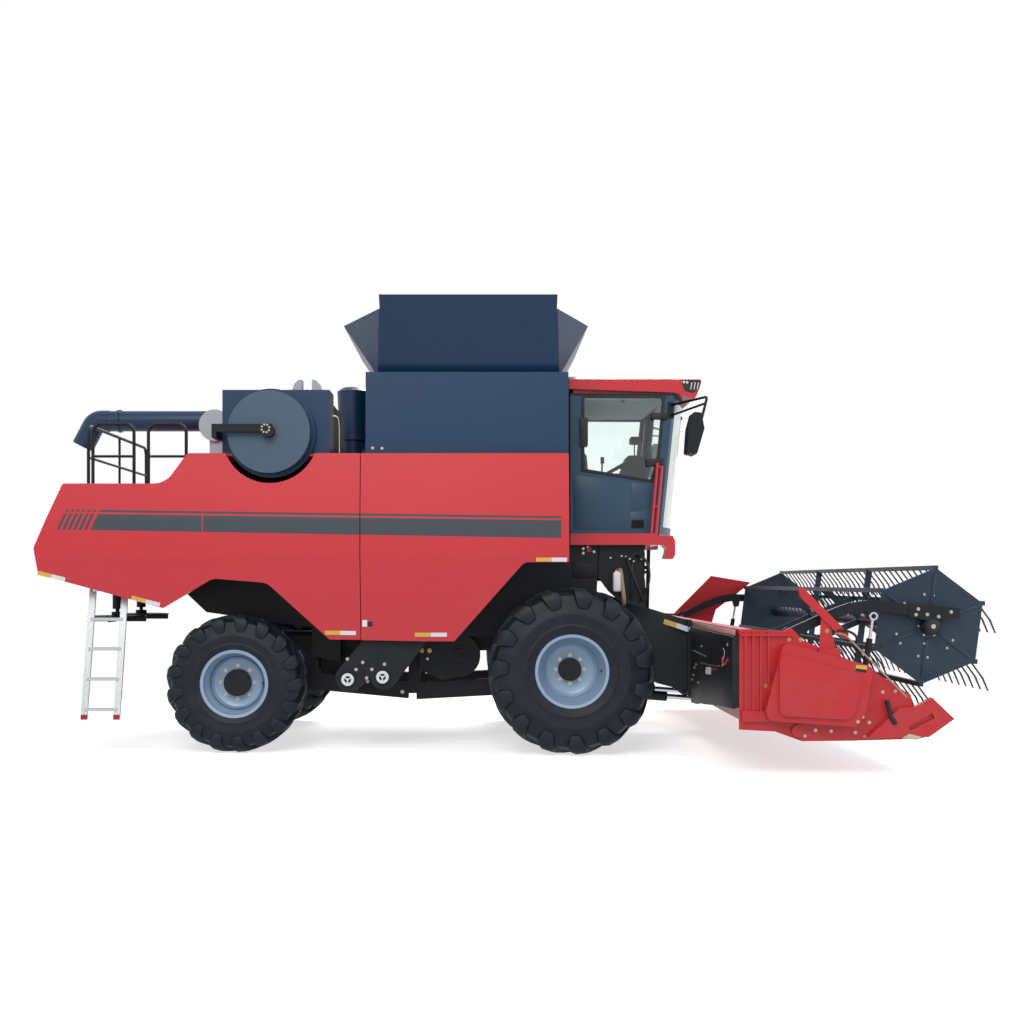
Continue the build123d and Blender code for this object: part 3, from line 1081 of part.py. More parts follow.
ARM_SPINE = [(2545.0, 1204.0), (2895.0, 1365.0), (3058.0, 1425.0), (3220.0, 1448.0), (3400.0, 1440.0),
             (3600.0, 1405.0), (3980.0, 1372.0)]
ARM_DEEP = 92.0


def reel_arms():
    """The two gooseneck arms with the sleeves that carry the reel's shaft."""
    half = ARM_DEEP / 2
    top = [(x, z + half) for x, z in ARM_SPINE[:-1]]
    low = [(x, z - half) for x, z in reversed(ARM_SPINE[:-1])]
    near, far = -ARM_Y - 20, -ARM_Y + 22
    arm = side_plate(top + low, near, far)
    arm += side_plate([(3575, 1460), (4010, 1425), (4000, 1335), (3880, 1330), (3700, 1330), (3570, 1355)],
                      near - 6, far)
    arm += shaft_y(*ARM_PIVOT, 58, near, far)
    arm += block(REEL_X - 60, REEL_X + 60, near, far, REEL_Z - 60, 1400)
    arm += shaft_y(REEL_X, REEL_Z, 75, near - 6, far)
    x, z = REEL_CYL_HIGH
    arm += side_plate([(x - 30, z - 28), (x + 30, z - 28), (x + 50, 1440), (x - 60, 1440)], near, far)
    arm -= shaft_y(*ARM_PIVOT, ARM_PIN_R + FIT, near - 60, far + 60)
    arm -= shaft_y(REEL_X, REEL_Z, REEL_SHAFT_R + FIT, near - 60, far + 60)
    arm += shaft_y(x, z, REEL_PIN_R, -REEL_CYL_Y - 20, -ARM_Y)
    return arm + flip(arm)


TINE_PITCH = 152.4
TINE = [(-7, -14), (8, -14), (106, -146), (150, -258), (140, -260), (90, -146)]     # x, z from its bat


def reel():
    """The reel: tube, end plates, middle spiders, square bats and their tines."""
    corners = [(REEL_X + REEL_R * math.cos(math.radians(REEL_PHASE + 360 / REEL_BATS * i)),
                REEL_Z + REEL_R * math.sin(math.radians(REEL_PHASE + 360 / REEL_BATS * i)))
               for i in range(REEL_BATS)]
    parts = [shaft_y(REEL_X, REEL_Z, 62, -REEL_HALF, REEL_HALF),
             shaft_y(REEL_X, REEL_Z, REEL_SHAFT_R, -ARM_Y - 24, ARM_Y + 24)]
    for y in (-REEL_HALF, REEL_HALF - 8):
        parts.append(side_plate(corners, y, y + 8))
    for y in (-REEL_HALF / 3, REEL_HALF / 3):
        parts += [box_beam((REEL_X, y, REEL_Z), (x, y, z), 14, 62) for x, z in corners]
    count = int((2 * REEL_HALF - 100) / TINE_PITCH)
    for x, z in corners:
        bat = block(x - BAT / 2, x + BAT / 2, -REEL_HALF, REEL_HALF, z - BAT / 2, z + BAT / 2)
        tine = side_plate([(x + dx, z + dz) for dx, dz in TINE], -5, 5)
        tines = [Pos(0, TINE_PITCH * (i - count / 2), 0) * tine for i in range(count + 1)]
        parts.append(bat.fuse(*tines))
    return fuse(parts)


BAT = 40.0


def cylinder_pair(low, high, y, barrel_r, rod_r, barrel_len, rod_len, pin_r, width, eye_play):
    """Barrel and rod of a hydraulic cylinder between two pins, on the right, with their mirror images."""
    lx, lz = low
    hx, hz = high
    run = math.hypot(hx - lx, hz - lz)
    ux, uz = (hx - lx) / run, (hz - lz) / run
    at = lambda d: (lx + ux * d, -y, lz + uz * d)
    neck = pin_r * 2 + barrel_r
    barrel = bar(at(neck), at(barrel_len), barrel_r) + bar(at(pin_r * 1.6), at(neck + 5), pin_r * 1.1)
    barrel += shaft_y(lx, lz, pin_r * 2, -y - width / 2, -y + width / 2)
    barrel -= bar(at(neck + 20), at(barrel_len + 1), rod_r + PIN_GAP)
    barrel -= shaft_y(lx, lz, pin_r + FIT, -y - width, -y + width)
    eye_r = pin_r + eye_play
    rod = bar(at(run - rod_len), at(run - eye_r - 2), rod_r)
    rod += shaft_y(hx, hz, eye_r + EYE_WALL, -y - width / 2, -y + width / 2)
    rod -= shaft_y(hx, hz, eye_r, -y - width, -y + width)
    return barrel + flip(barrel), rod + flip(rod)


def spreader(side):
    """One spreader disc on its shaft, with four vanes."""
    y = side * SPREADER_Y
    disc = shaft_z(SPREADER_X, y, SPREADER_R, SPREADER_Z - 10, SPREADER_Z)
    for i in range(4):
        disc += Pos(SPREADER_X, y, SPREADER_Z) * Rot(0, 0, 90 * i) * block(50, SPREADER_R, -6, 6, -60, 0)
    disc += shaft_z(SPREADER_X, y, 60, SPREADER_Z - 50, SPREADER_Z + 40)
    return disc - shaft_z(SPREADER_X, y, 20 + PIN_GAP, SPREADER_Z - 60, SPREADER_Z + 60)


# ---------------------------------------------------------------- all nodes
def all_nodes():
    nodes = wheel_nodes()
    nodes["chassis_frame"] = chassis_frame()
    nodes["threshing_body"] = threshing_body()
    nodes["elevators"] = elevators()
    nodes["rear_panel_right"] = rear_panel(True)
    nodes["rear_panel_left"] = flip(rear_panel(False))
    nodes["side_door_right"] = side_door()
    nodes["side_door_left"] = flip(side_door())
    nodes["rear_hood"] = rear_hood()
    nodes["front_axle"] = front_axle()
    nodes["rear_axle"] = rear_axle()
    knuckle = knuckle_right()
    nodes["knuckle_right"], nodes["knuckle_left"] = knuckle, flip(knuckle)
    nodes["tie_rod"] = tie_rod()
    nodes["grain_tank"] = grain_tank()
    nodes["tank_extension"] = tank_extension()
    nodes["engine"] = engine()
    nodes["radiator_box"] = radiator_box()
    nodes["screen_duct"] = screen_duct()
    nodes["rotary_screen"] = rotary_screen()
    nodes["air_cleaner"] = air_cleaner()
    nodes["exhaust"] = exhaust()
    nodes["unloader_turret"] = unloader_turret()
    nodes["unloader_tube"] = unloader_tube()
    nodes["deck_rails"] = deck_rails()
    nodes["rear_ladder"] = rear_ladder()
    nodes["cab_frame"] = cab_frame()
    nodes["cab_glass"] = cab_glass()
    nodes["cab_roof"] = cab_roof()
    nodes["lamps"] = lamps()
    nodes["cab_door"] = cab_door()
    nodes["door_glass"] = door_glass()
    nodes["seat"] = seat()
    nodes["controls"] = controls()
    nodes["cab_platform"] = cab_platform()
    nodes["valve_rack"] = valve_rack()
    nodes["access_ladder"] = access_ladder()
    nodes["front_handrail"] = front_handrail()
    nodes["mirrors"] = mirrors()
    nodes["feeder_house"] = feeder_house()
    nodes["header_frame"] = header_frame()
    nodes["header_end_right"], nodes["header_end_left"] = header_ends()
    nodes["cutter_bar"] = cutter_bar()
    nodes["header_auger"] = header_auger()
    nodes["reel_arms"] = reel_arms()
    nodes["reel"] = reel()
    nodes["lift_barrels"], nodes["lift_rods"] = cylinder_pair(
        LIFT_LOW, LIFT_HIGH, LIFT_Y, 50, 28, LIFT_BARREL, LIFT_ROD, LIFT_PIN_R, 58, LIFT_EYE_PLAY)
    nodes["reel_barrels"], nodes["reel_rods"] = cylinder_pair(
        REEL_CYL_LOW, REEL_CYL_HIGH, REEL_CYL_Y, 26, 13, REEL_BARREL, REEL_ROD, REEL_PIN_R, 28, REEL_EYE_PLAY)
    nodes["spreader_right"], nodes["spreader_left"] = spreader(-1), spreader(1)
    return nodes


os.makedirs("parts", exist_ok=True)
for name, shape in all_nodes().items():
    export_step(Pos(DATUM_X, 0, 0) * shape, f"parts/{name}.step")
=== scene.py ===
import math

import bmesh
import bpy
from mathutils import Matrix, Vector


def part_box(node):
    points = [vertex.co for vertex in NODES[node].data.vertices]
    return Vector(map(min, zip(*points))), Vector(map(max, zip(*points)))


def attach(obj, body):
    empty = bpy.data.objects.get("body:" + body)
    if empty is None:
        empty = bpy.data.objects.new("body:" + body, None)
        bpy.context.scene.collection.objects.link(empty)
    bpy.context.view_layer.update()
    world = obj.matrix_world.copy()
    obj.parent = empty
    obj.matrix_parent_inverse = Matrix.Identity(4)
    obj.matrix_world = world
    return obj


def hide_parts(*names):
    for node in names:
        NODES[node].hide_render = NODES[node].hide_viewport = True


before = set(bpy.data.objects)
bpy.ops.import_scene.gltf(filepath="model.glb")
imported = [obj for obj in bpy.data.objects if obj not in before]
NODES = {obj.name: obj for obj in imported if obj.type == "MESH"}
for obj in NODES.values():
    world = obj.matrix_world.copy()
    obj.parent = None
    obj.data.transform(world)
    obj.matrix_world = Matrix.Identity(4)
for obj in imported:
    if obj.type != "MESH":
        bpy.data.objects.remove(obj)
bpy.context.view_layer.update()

RIGHT, LEFT = -1, 1                  # the machine's sides, as signs of Y
SIDES = ((RIGHT, "right"), (LEFT, "left"))


# ---- materials
def srgb(code):
    """A hex colour as the linear values that Blender's sockets take."""
    parts = [int(code[i:i + 2], 16) / 255 for i in (1, 3, 5)]
    return (*[c / 12.92 if c <= 0.04045 else ((c + 0.055) / 1.055) ** 2.4 for c in parts], 1.0)


def add(tree, made, key, kind, sockets, settings={}):
    """Adds a node under a key, with its settings and its sockets.

    A socket takes a value, a hex colour, a link ("@key" or "@key.Output") or a sum (OPERATION, values).
    """
    node = made[key] = tree.nodes.new("ShaderNode" + kind)
    for name, value in settings.items():
        setattr(node, name, value)
    for name, value in sockets.items():
        if isinstance(value, tuple) and isinstance(value[0], str):
            add(tree, made, f"{key}_{name}", "Math", dict(enumerate(value[1:])), {"operation": value[0]})
            value = f"@{key}_{name}"
        if isinstance(value, str) and value.startswith("@"):
            source, _, output = value[1:].partition(".")
            tree.links.new(made[source].outputs[output or 0], node.inputs[name])
        else:
            node.inputs[name].default_value = srgb(value) if isinstance(value, str) else value


def grown(tree, rows):
    """Adds a table of nodes: (key, kind, sockets, settings), or (key, OPERATION, values) for a sum."""
    tree.nodes.clear()
    made = {}
    for key, kind, *rest in rows:
        if kind.isupper():
            rest = [dict(enumerate(rest)), {"operation": kind}]
            kind = "Math"
        add(tree, made, key, kind, *rest)


def material(name, *rows):
    """A material on its object's own place, whose surface is the shader in the last row."""
    made = bpy.data.materials.new(name)
    made.use_nodes = True
    grown(made.node_tree, [("place", "TexCoord", {}), *rows,
                           ("surface", "OutputMaterial", {"Surface": "@" + rows[-1][0]})])
    return made


PLACE = {"Vector": "@place.Object"}
RGBA = {"data_type": "RGBA"}
DUST = "#7E7F80"


def enamel(name, colour, faded, roughness, coat, dust, metallic=0.0, ior=1.4, marks=()):
    """Enamel sprayed on sheet steel: faint fading, field dust low down, orange peel and the sheet's waves."""
    return material(
        name,
        ("axes", "SeparateXYZ", PLACE),
        ("patches", "TexNoise", {**PLACE, "Scale": 0.9, "Detail": 4.0}),
        ("paint", "Mix", {"Factor": "@patches.Fac", "A": colour, "B": faded}, RGBA),
        *marks,
        ("low", "MapRange", {"Value": "@axes.Z", "From Min": 0.3, "From Max": 1.9,
                             "To Min": dust, "To Max": dust * 0.12}),
        ("grime", "TexNoise", {**PLACE, "Scale": 6.0, "Detail": 8.0, "Roughness": 0.65}),
        ("spots", "MULTIPLY_ADD", "@grime.Fac", 2.4, -0.75), ("dusty", "MULTIPLY", "@low", "@spots"),
        ("clamped", "Clamp", {"Value": "@dusty"}),
        ("colour", "Mix", {"Factor": "@clamped", "A": "@marked.Result" if marks else "@paint.Result",
                           "B": DUST}, RGBA),
        ("rough", "MapRange", {"Value": "@clamped", "From Max": 0.5, "To Min": roughness, "To Max": 0.8}),
        ("waves", "TexNoise", {**PLACE, "Scale": 1.7, "Detail": 1.0}),
        ("sheet", "Bump", {"Height": "@waves.Fac", "Strength": 0.35, "Distance": 0.012}),
        # orange peel is about 1 mm across and is drawn at 7 mm, so that it shows
        ("peel", "TexNoise", {**PLACE, "Scale": 140.0, "Detail": 2.0}),
        ("bump", "Bump", {"Height": "@peel.Fac", "Strength": 0.12, "Distance": 0.0006, "Normal": "@sheet"}),
        ("skin", "BsdfPrincipled", {"Base Color": "@colour.Result", "Roughness": "@rough", "IOR": ior,
                                    "Metallic": metallic, "Coat Weight": coat, "Coat Roughness": 0.12,
                                    "Normal": "@bump"}))


def bright_metal(name, colour, roughness, stretch=(1.0, 1.0, 1.0), scratch=0.2):
    """Bare metal whose grain runs the long way of the mill or the brush."""
    return material(
        name,
        ("along", "Mapping", {**PLACE, "Scale": stretch}),
        ("grain", "TexNoise", {"Vector": "@along", "Scale": 60.0, "Detail": 5.0}),
        ("rough", "MapRange", {"Value": "@grain.Fac", "To Min": roughness * 0.7, "To Max": roughness * 1.4}),
        ("bump", "Bump", {"Height": "@grain.Fac", "Strength": scratch, "Distance": 0.0004}),
        ("skin", "BsdfPrincipled", {"Base Color": colour, "Metallic": 1.0, "Roughness": "@rough",
                                    "Normal": "@bump"}))


def moulded(name, colour, roughness, grain=500.0, depth=0.0003):
    """Moulded plastic with a fine spark-eroded grain."""
    return material(
        name,
        ("pits", "TexNoise", {**PLACE, "Scale": grain, "Detail": 2.0}),
        ("tone", "MapRange", {"Value": "@pits.Fac", "To Min": roughness * 0.85, "To Max": roughness * 1.15}),
        ("bump", "Bump", {"Height": "@pits.Fac", "Strength": 0.25, "Distance": depth}),
        ("skin", "BsdfPrincipled", {"Base Color": colour, "Roughness": "@tone", "IOR": 1.46,
                                    "Normal": "@bump"}))


def tape_film(name, colour):
    """Retroreflective tape: a printed film over cells of tiny prisms, drawn at 5 mm so that they show."""
    return material(
        name,
        ("cells", "TexVoronoi", {**PLACE, "Scale": 200.0}, {"feature": "DISTANCE_TO_EDGE"}),
        ("edge", "MapRange", {"Value": "@cells.Distance", "From Max": 0.12, "To Min": 0.6, "To Max": 1.0}),
        ("film", "Mix", {"Factor": "@edge", "A": "#8C8C88", "B": colour}, RGBA),
        ("skin", "BsdfPrincipled", {"Base Color": "@film.Result", "Roughness": 0.25, "Coat Weight": 0.5}))


# The broad grey band, the thin line over it and the slanted bars behind them, painted on the side's red.
SLANT = 0.465                        # run over rise of the slanted ends
BAND_FOOT, BAND_TOP = 2.1455, 2.3004  # the broad band's edges at its rear end
BAND_X, BAND_END, BAND_GAP_X = -3.529, 0.96, -2.461
BARS_X, BAR_PITCH, BAR_W, BARS = -3.854, 0.0523, 0.0294, 6
X, Z = "@axes.X", "@axes.Z"
SIDE_BANDS = [
    ("from_start", "SUBTRACT", X, BAND_X),
    ("foot", "MULTIPLY_ADD", "@from_start", -0.01715, BAND_FOOT),
    ("top", "MULTIPLY_ADD", "@from_start", -0.01372, BAND_TOP),
    ("broad", "MULTIPLY", ("GREATER_THAN", Z, "@foot"), ("LESS_THAN", Z, "@top")),
    ("thin", "MULTIPLY", ("GREATER_THAN", Z, ("ADD", "@top", 0.0175)),
     ("LESS_THAN", Z, ("ADD", "@top", 0.04))),
    ("rows", "MAXIMUM", "@broad", "@thin"),
    ("upright_x", "SUBTRACT", X, ("MULTIPLY", ("SUBTRACT", Z, BAND_FOOT), SLANT)),
    ("run", "MULTIPLY", ("GREATER_THAN", "@upright_x", BAND_X), ("LESS_THAN", X, BAND_END)),
    ("off_gap", "GREATER_THAN", ("ABSOLUTE", ("SUBTRACT", X, BAND_GAP_X)), 0.005),
    ("band", "MULTIPLY", "@rows", ("MULTIPLY", "@run", "@off_gap")),
    ("to_bars", "SUBTRACT", "@upright_x", BARS_X),
    ("on_bar", "LESS_THAN", ("MODULO", "@to_bars", BAR_PITCH), BAR_W),
    ("among", "MULTIPLY", ("GREATER_THAN", "@to_bars", 0.0), ("LESS_THAN", "@to_bars", BAR_PITCH * BARS)),
    ("bars", "MULTIPLY", "@rows", ("MULTIPLY", "@on_bar", "@among")), ("mask", "MAXIMUM", "@band", "@bars"),
    ("marked", "Mix", {"Factor": "@mask", "A": "@paint.Result", "B": "#3E454D"}, RGBA),
]

# Satin red enamel of the side panels: an even coat that mirrors the sky softly and greys a little with dust.
red_enamel = enamel("satin_red_enamel", "#CA2C36", "#CC353C", 0.3, 0.25, 0.08, marks=SIDE_BANDS)
# The same red where nothing is painted over it: roof, hood, fenders.
plain_red = enamel("plain_red_enamel", "#C82A35", "#CB333A", 0.3, 0.25, 0.08)
# The header's red is a thicker coat on heavy sheet, with more dust, since it runs near the soil.
header_red = enamel("header_red_enamel", "#BF1C24", "#C6282C", 0.36, 0.2, 0.14)
# Blue-black enamel of the tank and unloader: the gloss of a near-black that leans to blue.
blue_black = enamel("blue_black_enamel", "#0D3150", "#143A5A", 0.38, 0.05, 0.08)
# The cab's enamel is a lighter slate blue, with the same gloss.
slate_blue = enamel("slate_blue_enamel", "#28465B", "#2E4C61", 0.38, 0.05, 0.08)
# Black chassis enamel: brushed-on and duller, with dust in its low places.
chassis_black = enamel("chassis_black_enamel", "#060B11", "#0C141C", 0.48, 0.0, 0.08, ior=1.35)
# The feeder is a shade lighter than the chassis, as straw has polished it.
feeder_black = enamel("feeder_black_enamel", "#1A2328", "#20292E", 0.48, 0.0, 0.05, ior=1.35)
# Dark grey enamel of the reel and its plates.
reel_grey = enamel("reel_dark_enamel", "#132839", "#1A3040", 0.42, 0.05, 0.1)
# Silver wheel enamel: fine metal flake under a clear coat, so it is light grey and soft; its blue tint is
# painted shade, the sky's blue light on the shaded side.
rim_silver = enamel("silver_wheel_enamel", "#8FAAC4", "#9AB3CB", 0.4, 0.3, 0.14, 0.2)
# Zinc-grey paint of the exhaust and air cleaner.
dull_silver = enamel("dull_silver_enamel", "#AEB6BC", "#9BA4AA", 0.45, 0.1, 0.1, 0.3)
# Pale pinkish enamel of the header's top beam and nose tip: a painted highlight, the bright sky's reflection
# on the red put in as colour.
pale_highlight_paint = enamel("painted_highlight_enamel", "#D9B3A8", "#C98F86", 0.5, 0.0, 0.05)
# Mill-finish aluminium of the ladder: bright and streaky along its length.
aluminium = bright_metal("mill_aluminium", "#C4C9CE", 0.34, (1.0, 1.0, 0.15))
# Hard chromed rod: mirror-like.
chrome = bright_metal("hard_chrome_rod", "#C9CCD0", 0.12, scratch=0.03)
# Zinc-plated steel of nuts, bolts and clips.
zinc = bright_metal("zinc_plated_steel", "#B9B7A6", 0.35)
# Yellow-passivated steel of the larger bolts.
yellow_zinc = bright_metal("yellow_passivated_steel", "#B89A50", 0.4)
# Black moulded plastic of mirrors, knobs and caps.
black_plastic = moulded("black_moulded_plastic", "#16181B", 0.5)
# Extruded rubber of seals and hoses.
hose_rubber = moulded("extruded_black_rubber", "#14161A", 0.55, 300.0)
# White blow-moulded bottle and labels.
white_plastic = moulded("white_blow_moulded_plastic", "#E4E7EA", 0.4)
# Moulded red plastic of caps.
red_plastic = moulded("red_moulded_plastic", "#B8222A", 0.4)
# Warm nylon of the drain pipe and cable sleeves.
tan_nylon = moulded("tan_nylon_tube", "#A89272", 0.45)
# Clear moulded lamp lens over its reflector.
lamp_lens = moulded("clear_lamp_lens", "#D8DCE0", 0.12, 120.0, 0.002)
# Pale foam-backed liner of the cab's ceiling.
liner = moulded("pale_foam_headliner", "#B4BCC2", 0.8, 200.0)
tape_yellow = tape_film("yellow_reflective_tape", "#E2B02C")
tape_white = tape_film("white_reflective_tape", "#E6E7EE")
# Moulded tyre rubber: carbon black, matt, with soil dust rubbed into its tread; the blue in its black and in
# the grey patches is painted sheen, the sky's blue light on the shaded side.
tyre_rubber = material(
    "moulded_tyre_rubber",
    ("cloud", "TexNoise", {**PLACE, "Scale": 7.0, "Detail": 9.0, "Roughness": 0.7}),
    # the blue-grey patches are soil dust mixed with a painted bluish sheen
    ("dusty", "MapRange", {"Value": "@cloud.Fac", "From Min": 0.42, "From Max": 0.75, "To Max": 0.35}),
    ("colour", "Mix", {"Factor": "@dusty", "A": "#060E1A", "B": "#2F3D49"}, RGBA),
    ("grain", "TexNoise", {**PLACE, "Scale": 260.0, "Detail": 3.0}),
    ("bump", "Bump", {"Height": "@grain.Fac", "Strength": 0.3, "Distance": 0.0008}),
    ("skin", "BsdfPrincipled", {"Base Color": "@colour.Result", "Roughness": 0.55, "IOR": 1.4,
                                "Normal": "@bump"}))
# Tinted safety glass: clear, faintly green-grey, with a film of dust that dulls it here and there.
safety_glass = material(
    "tinted_safety_glass",
    ("film", "TexNoise", {**PLACE, "Scale": 3.0, "Detail": 6.0}),
    ("rough", "MapRange", {"Value": "@film.Fac", "From Min": 0.4, "From Max": 0.8, "To Min": 0.01,
                           "To Max": 0.1}),
    ("skin", "BsdfPrincipled", {"Base Color": "#F6FFFD", "Roughness": "@rough", "IOR": 1.45,
                                "Transmission Weight": 1.0}))
# Woven seat cloth: threads over and under, drawn at 4 mm so that they show.
seat_cloth = material(
    "woven_seat_cloth",
    *[(key, "TexWave", {**PLACE, "Scale": 40.0, "Distortion": 0.6}, {"bands_direction": axis})
      for key, axis in (("warp", "Z"), ("weft", "Y"))],
    ("weave", "MULTIPLY", "@warp.Fac", "@weft.Fac"),
    ("colour", "Mix", {"Factor": "@weave", "A": "#1D2126", "B": "#3A414A"}, RGBA),
    ("bump", "Bump", {"Height": "@weave", "Strength": 0.4, "Distance": 0.001}),
    ("skin", "BsdfPrincipled", {"Base Color": "@colour.Result", "Roughness": 0.85, "Sheen Weight": 0.3,
                                "Normal": "@bump"}))
# Perforated sheet of the dust screen: punched holes, drawn at 14 mm so that they show.
screen_sheet = material(
    "perforated_screen_sheet",
    ("holes", "TexVoronoi", {**PLACE, "Scale": 70.0, "Randomness": 0.0}),
    ("web", "MapRange", {"Value": "@holes.Distance", "From Min": 0.3, "From Max": 0.36}),
    ("colour", "Mix", {"Factor": "@web", "A": "#1C2C37", "B": "#40586A"}, RGBA),
    ("bump", "Bump", {"Height": "@web", "Strength": 0.5, "Distance": 0.001}),
    ("skin", "BsdfPrincipled", {"Base Color": "@colour.Result", "Roughness": 0.5, "Metallic": 0.2,
                                "Normal": "@bump"}))

FINISHES = [  # finish, and its nodes, or the stem of a pair's names
    (red_enamel, "rear_panel side_door"),
    (plain_red, "rear_hood cab_roof cab_platform front_handrail"),
    (header_red, "header_end header_frame"),
    (blue_black, "grain_tank tank_extension unloader_tube unloader_turret radiator_box"),
    (slate_blue, "cab_frame cab_door"),
    (chassis_black, "valve_rack chassis_frame threshing_body elevators front_axle rear_axle knuckle tie_rod "
                    "deck_rails reel_arms lift_barrels reel_barrels spreader engine access_ladder mirrors "
                    "screen_duct cutter_bar"),
    (feeder_black, "feeder_house"), (reel_grey, "reel header_auger"), (screen_sheet, "rotary_screen"),
    (rim_silver, "front_rim rear_rim"),
    (dull_silver, "air_cleaner exhaust"),
    (tyre_rubber, "front_tyre rear_tyre"),
    (aluminium, "rear_ladder"), (chrome, "lift_rods reel_rods"), (safety_glass, "cab_glass door_glass"),
    (black_plastic, "controls"), (seat_cloth, "seat"), (lamp_lens, "lamps"),
]
for finish, names in FINISHES:
    for name in names.split():
        for node in (name, f"{name}_right", f"{name}_left"):
            if node in NODES:
                NODES[node].data.materials.clear()
                NODES[node].data.materials.append(finish)


# ---- ways of working
ABOUT = Matrix.Rotation(math.pi, 4, "Z")        # half a turn, to the other side


def go(mode):
    bpy.ops.object.mode_set(mode=mode)


def pick(*objects):
    """Leaves edit mode, and selects these objects alone."""
    if bpy.context.mode != "OBJECT":
        go("OBJECT")
    bpy.ops.object.select_all(action="DESELECT")
    for one in objects:
        one.select_set(True)
    bpy.context.view_layer.objects.active = objects[0] if objects else None


def settled(piece):
    """Selects a piece alone, and puts its place and turn into its mesh."""
    pick(piece)
    bpy.ops.object.transform_apply(location=True, rotation=True, scale=True)
    return piece


def changed(piece, kind, **settings):
    """Adds a modifier with its settings, and applies it."""
    pick(piece)
    tool = piece.modifiers.new(kind.lower(), kind)
    for name, value in settings.items():
        setattr(tool, name, value)
    bpy.ops.object.modifier_apply(modifier=tool.name)
    return piece


def rounded(piece, width, segments=2):
    """Bevels the edges sharper than 40 degrees, as a press or a casting leaves them."""
    return changed(settled(piece), "BEVEL", width=width, segments=segments, limit_method="ANGLE",
                   angle_limit=math.radians(40))


def cube(size, at=(0, 0, 0), edge=0.0, steps=2, turn=(0, 0, 0)):
    """A cuboid, with its edges rounded where a width is given."""
    pick()
    bpy.ops.mesh.primitive_cube_add(size=1, location=at, rotation=turn, scale=size)
    return rounded(bpy.context.object, edge, steps) if edge else bpy.context.object


def rod(radius, length, at, along="Y", sides=32, radius2=None):
    """A cylinder or cone about X, Y or Z, with its second radius at its high end."""
    turn = {"X": (0, math.pi / 2, 0), "Y": (-math.pi / 2, 0, 0), "Z": (0, 0, 0)}[along]
    pick()
    bpy.ops.mesh.primitive_cone_add(vertices=sides, radius1=radius, depth=length, location=at, rotation=turn,
                                    radius2=radius if radius2 is None else radius2)
    return bpy.context.object


# operators on what is selected, with their settings, for shape()
EVERYTHING = (bpy.ops.mesh.select_all, {"action": "SELECT"})
OUTWARDS = (bpy.ops.mesh.normals_make_consistent, {"inside": False})
FLIPPED = (bpy.ops.mesh.flip_normals, {})
FILLED = (bpy.ops.mesh.edge_face_add, {})


def inset(thickness, depth=0.0):
    return bpy.ops.mesh.inset, {"thickness": thickness, "depth": depth}


def drawn_out(thick):
    return bpy.ops.mesh.extrude_region_move, {"TRANSFORM_OT_translate": {"value": (0, thick, 0)}}


def cut_at(at, along):
    return bpy.ops.mesh.bisect, {"plane_co": at, "plane_no": along}


def shape(piece, *moves, choose=None):
    """Runs operators on a piece in edit mode: on all of it, or on the faces whose middle and normal pass."""
    settled(piece)
    go("EDIT")
    bpy.ops.mesh.select_all(action="SELECT")
    if choose:
        bpy.ops.mesh.select_mode(type="FACE")
        mesh = bmesh.from_edit_mesh(piece.data)
        mesh.normal_update()
        for face in mesh.faces:
            face.select_set(choose(face.calc_center_median(), face.normal))
        bmesh.update_edit_mesh(piece.data)
    for move, settings in moves:
        move(**settings)
    go("OBJECT")
    return piece


def copied(piece, at=(0, 0, 0), turn=None):
    """A copy with its own mesh, turned by a matrix about the origin and then moved."""
    other = piece.copy()
    other.data = piece.data.copy()
    bpy.context.collection.objects.link(other)
    other.data.transform(Matrix.Translation(at) @ (turn or Matrix.Identity(4)) @ piece.matrix_world)
    other.matrix_world = Matrix.Identity(4)
    return other


def joined(pieces):
    pick(*pieces)
    if len(pieces) > 1:
        bpy.ops.object.join()
    return bpy.context.object


def repeated(pattern, places):
    """A pattern's copies, one at each point and turn, joined. The pattern itself is taken away."""
    made = [copied(pattern, at, turn) for at, turn in places]
    bpy.data.objects.remove(pattern)
    return joined(made)


def kept(piece, name, *finishes, body="chassis", slot=None, angle=35):
    """Names a finished piece, or a list of them joined, and gives it its finishes and body. Its slot is not
    used.
    """
    piece = settled(joined(piece) if isinstance(piece, list) else piece)
    piece.name = piece.data.name = name
    for one in finishes:
        piece.data.materials.append(one)
    bpy.ops.object.shade_smooth_by_angle(angle=math.radians(angle))
    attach(piece, body)
    return piece


def facing(node, x, z, side):
    """The point and outward normal of a node's surface, seen straight from one side at this x and z."""
    hit, point, normal, _ = NODES[node].ray_cast(Vector((x, side * 4.0, z)), Vector((0, -side, 0)))
    if not hit:
        raise ValueError(f"{node} has no face at {x}, {z}")
    return point, normal if normal.y * side > 0 else -normal


def turned(normal, up="Y"):
    """The turn that points +Z along a normal."""
    return Vector(normal).to_track_quat("Z", up).to_matrix().to_4x4()


def circle(x, y, z, radius, count, first=0.0):
    """Points round a circle in an X-Z plane, each with its angle."""
    angles = [first + 2 * math.pi * k / count for k in range(count)]
    return [((x + radius * math.cos(a), y, z + radius * math.sin(a)), a) for a in angles]


def outlined(points):
    """A piece that is only its outline: these points, joined in a ring."""
    pick()
    bpy.ops.mesh.primitive_plane_add(size=1)
    piece = bpy.context.object
    go("EDIT")
    mesh = bmesh.from_edit_mesh(piece.data)
    bmesh.ops.delete(mesh, geom=list(mesh.verts), context="VERTS")
    ring = [mesh.verts.new(point) for point in points]
    for low, high in zip(ring, ring[1:] + ring[:1]):
        mesh.edges.new((low, high))
    bmesh.update_edit_mesh(piece.data)
    go("OBJECT")
    return piece


def spun(outline, steps=64):
    """A closed outline of radius and y, spun once round the Y axis."""
    turn = {"steps": steps, "angle": 2 * math.pi, "center": (0, 0, 0), "axis": (0, 1, 0)}
    return shape(outlined([(r, y, 0) for r, y in outline]), (bpy.ops.mesh.spin, turn), EVERYTHING,
                 (bpy.ops.mesh.remove_doubles, {"threshold": 0.0004}), OUTWARDS)


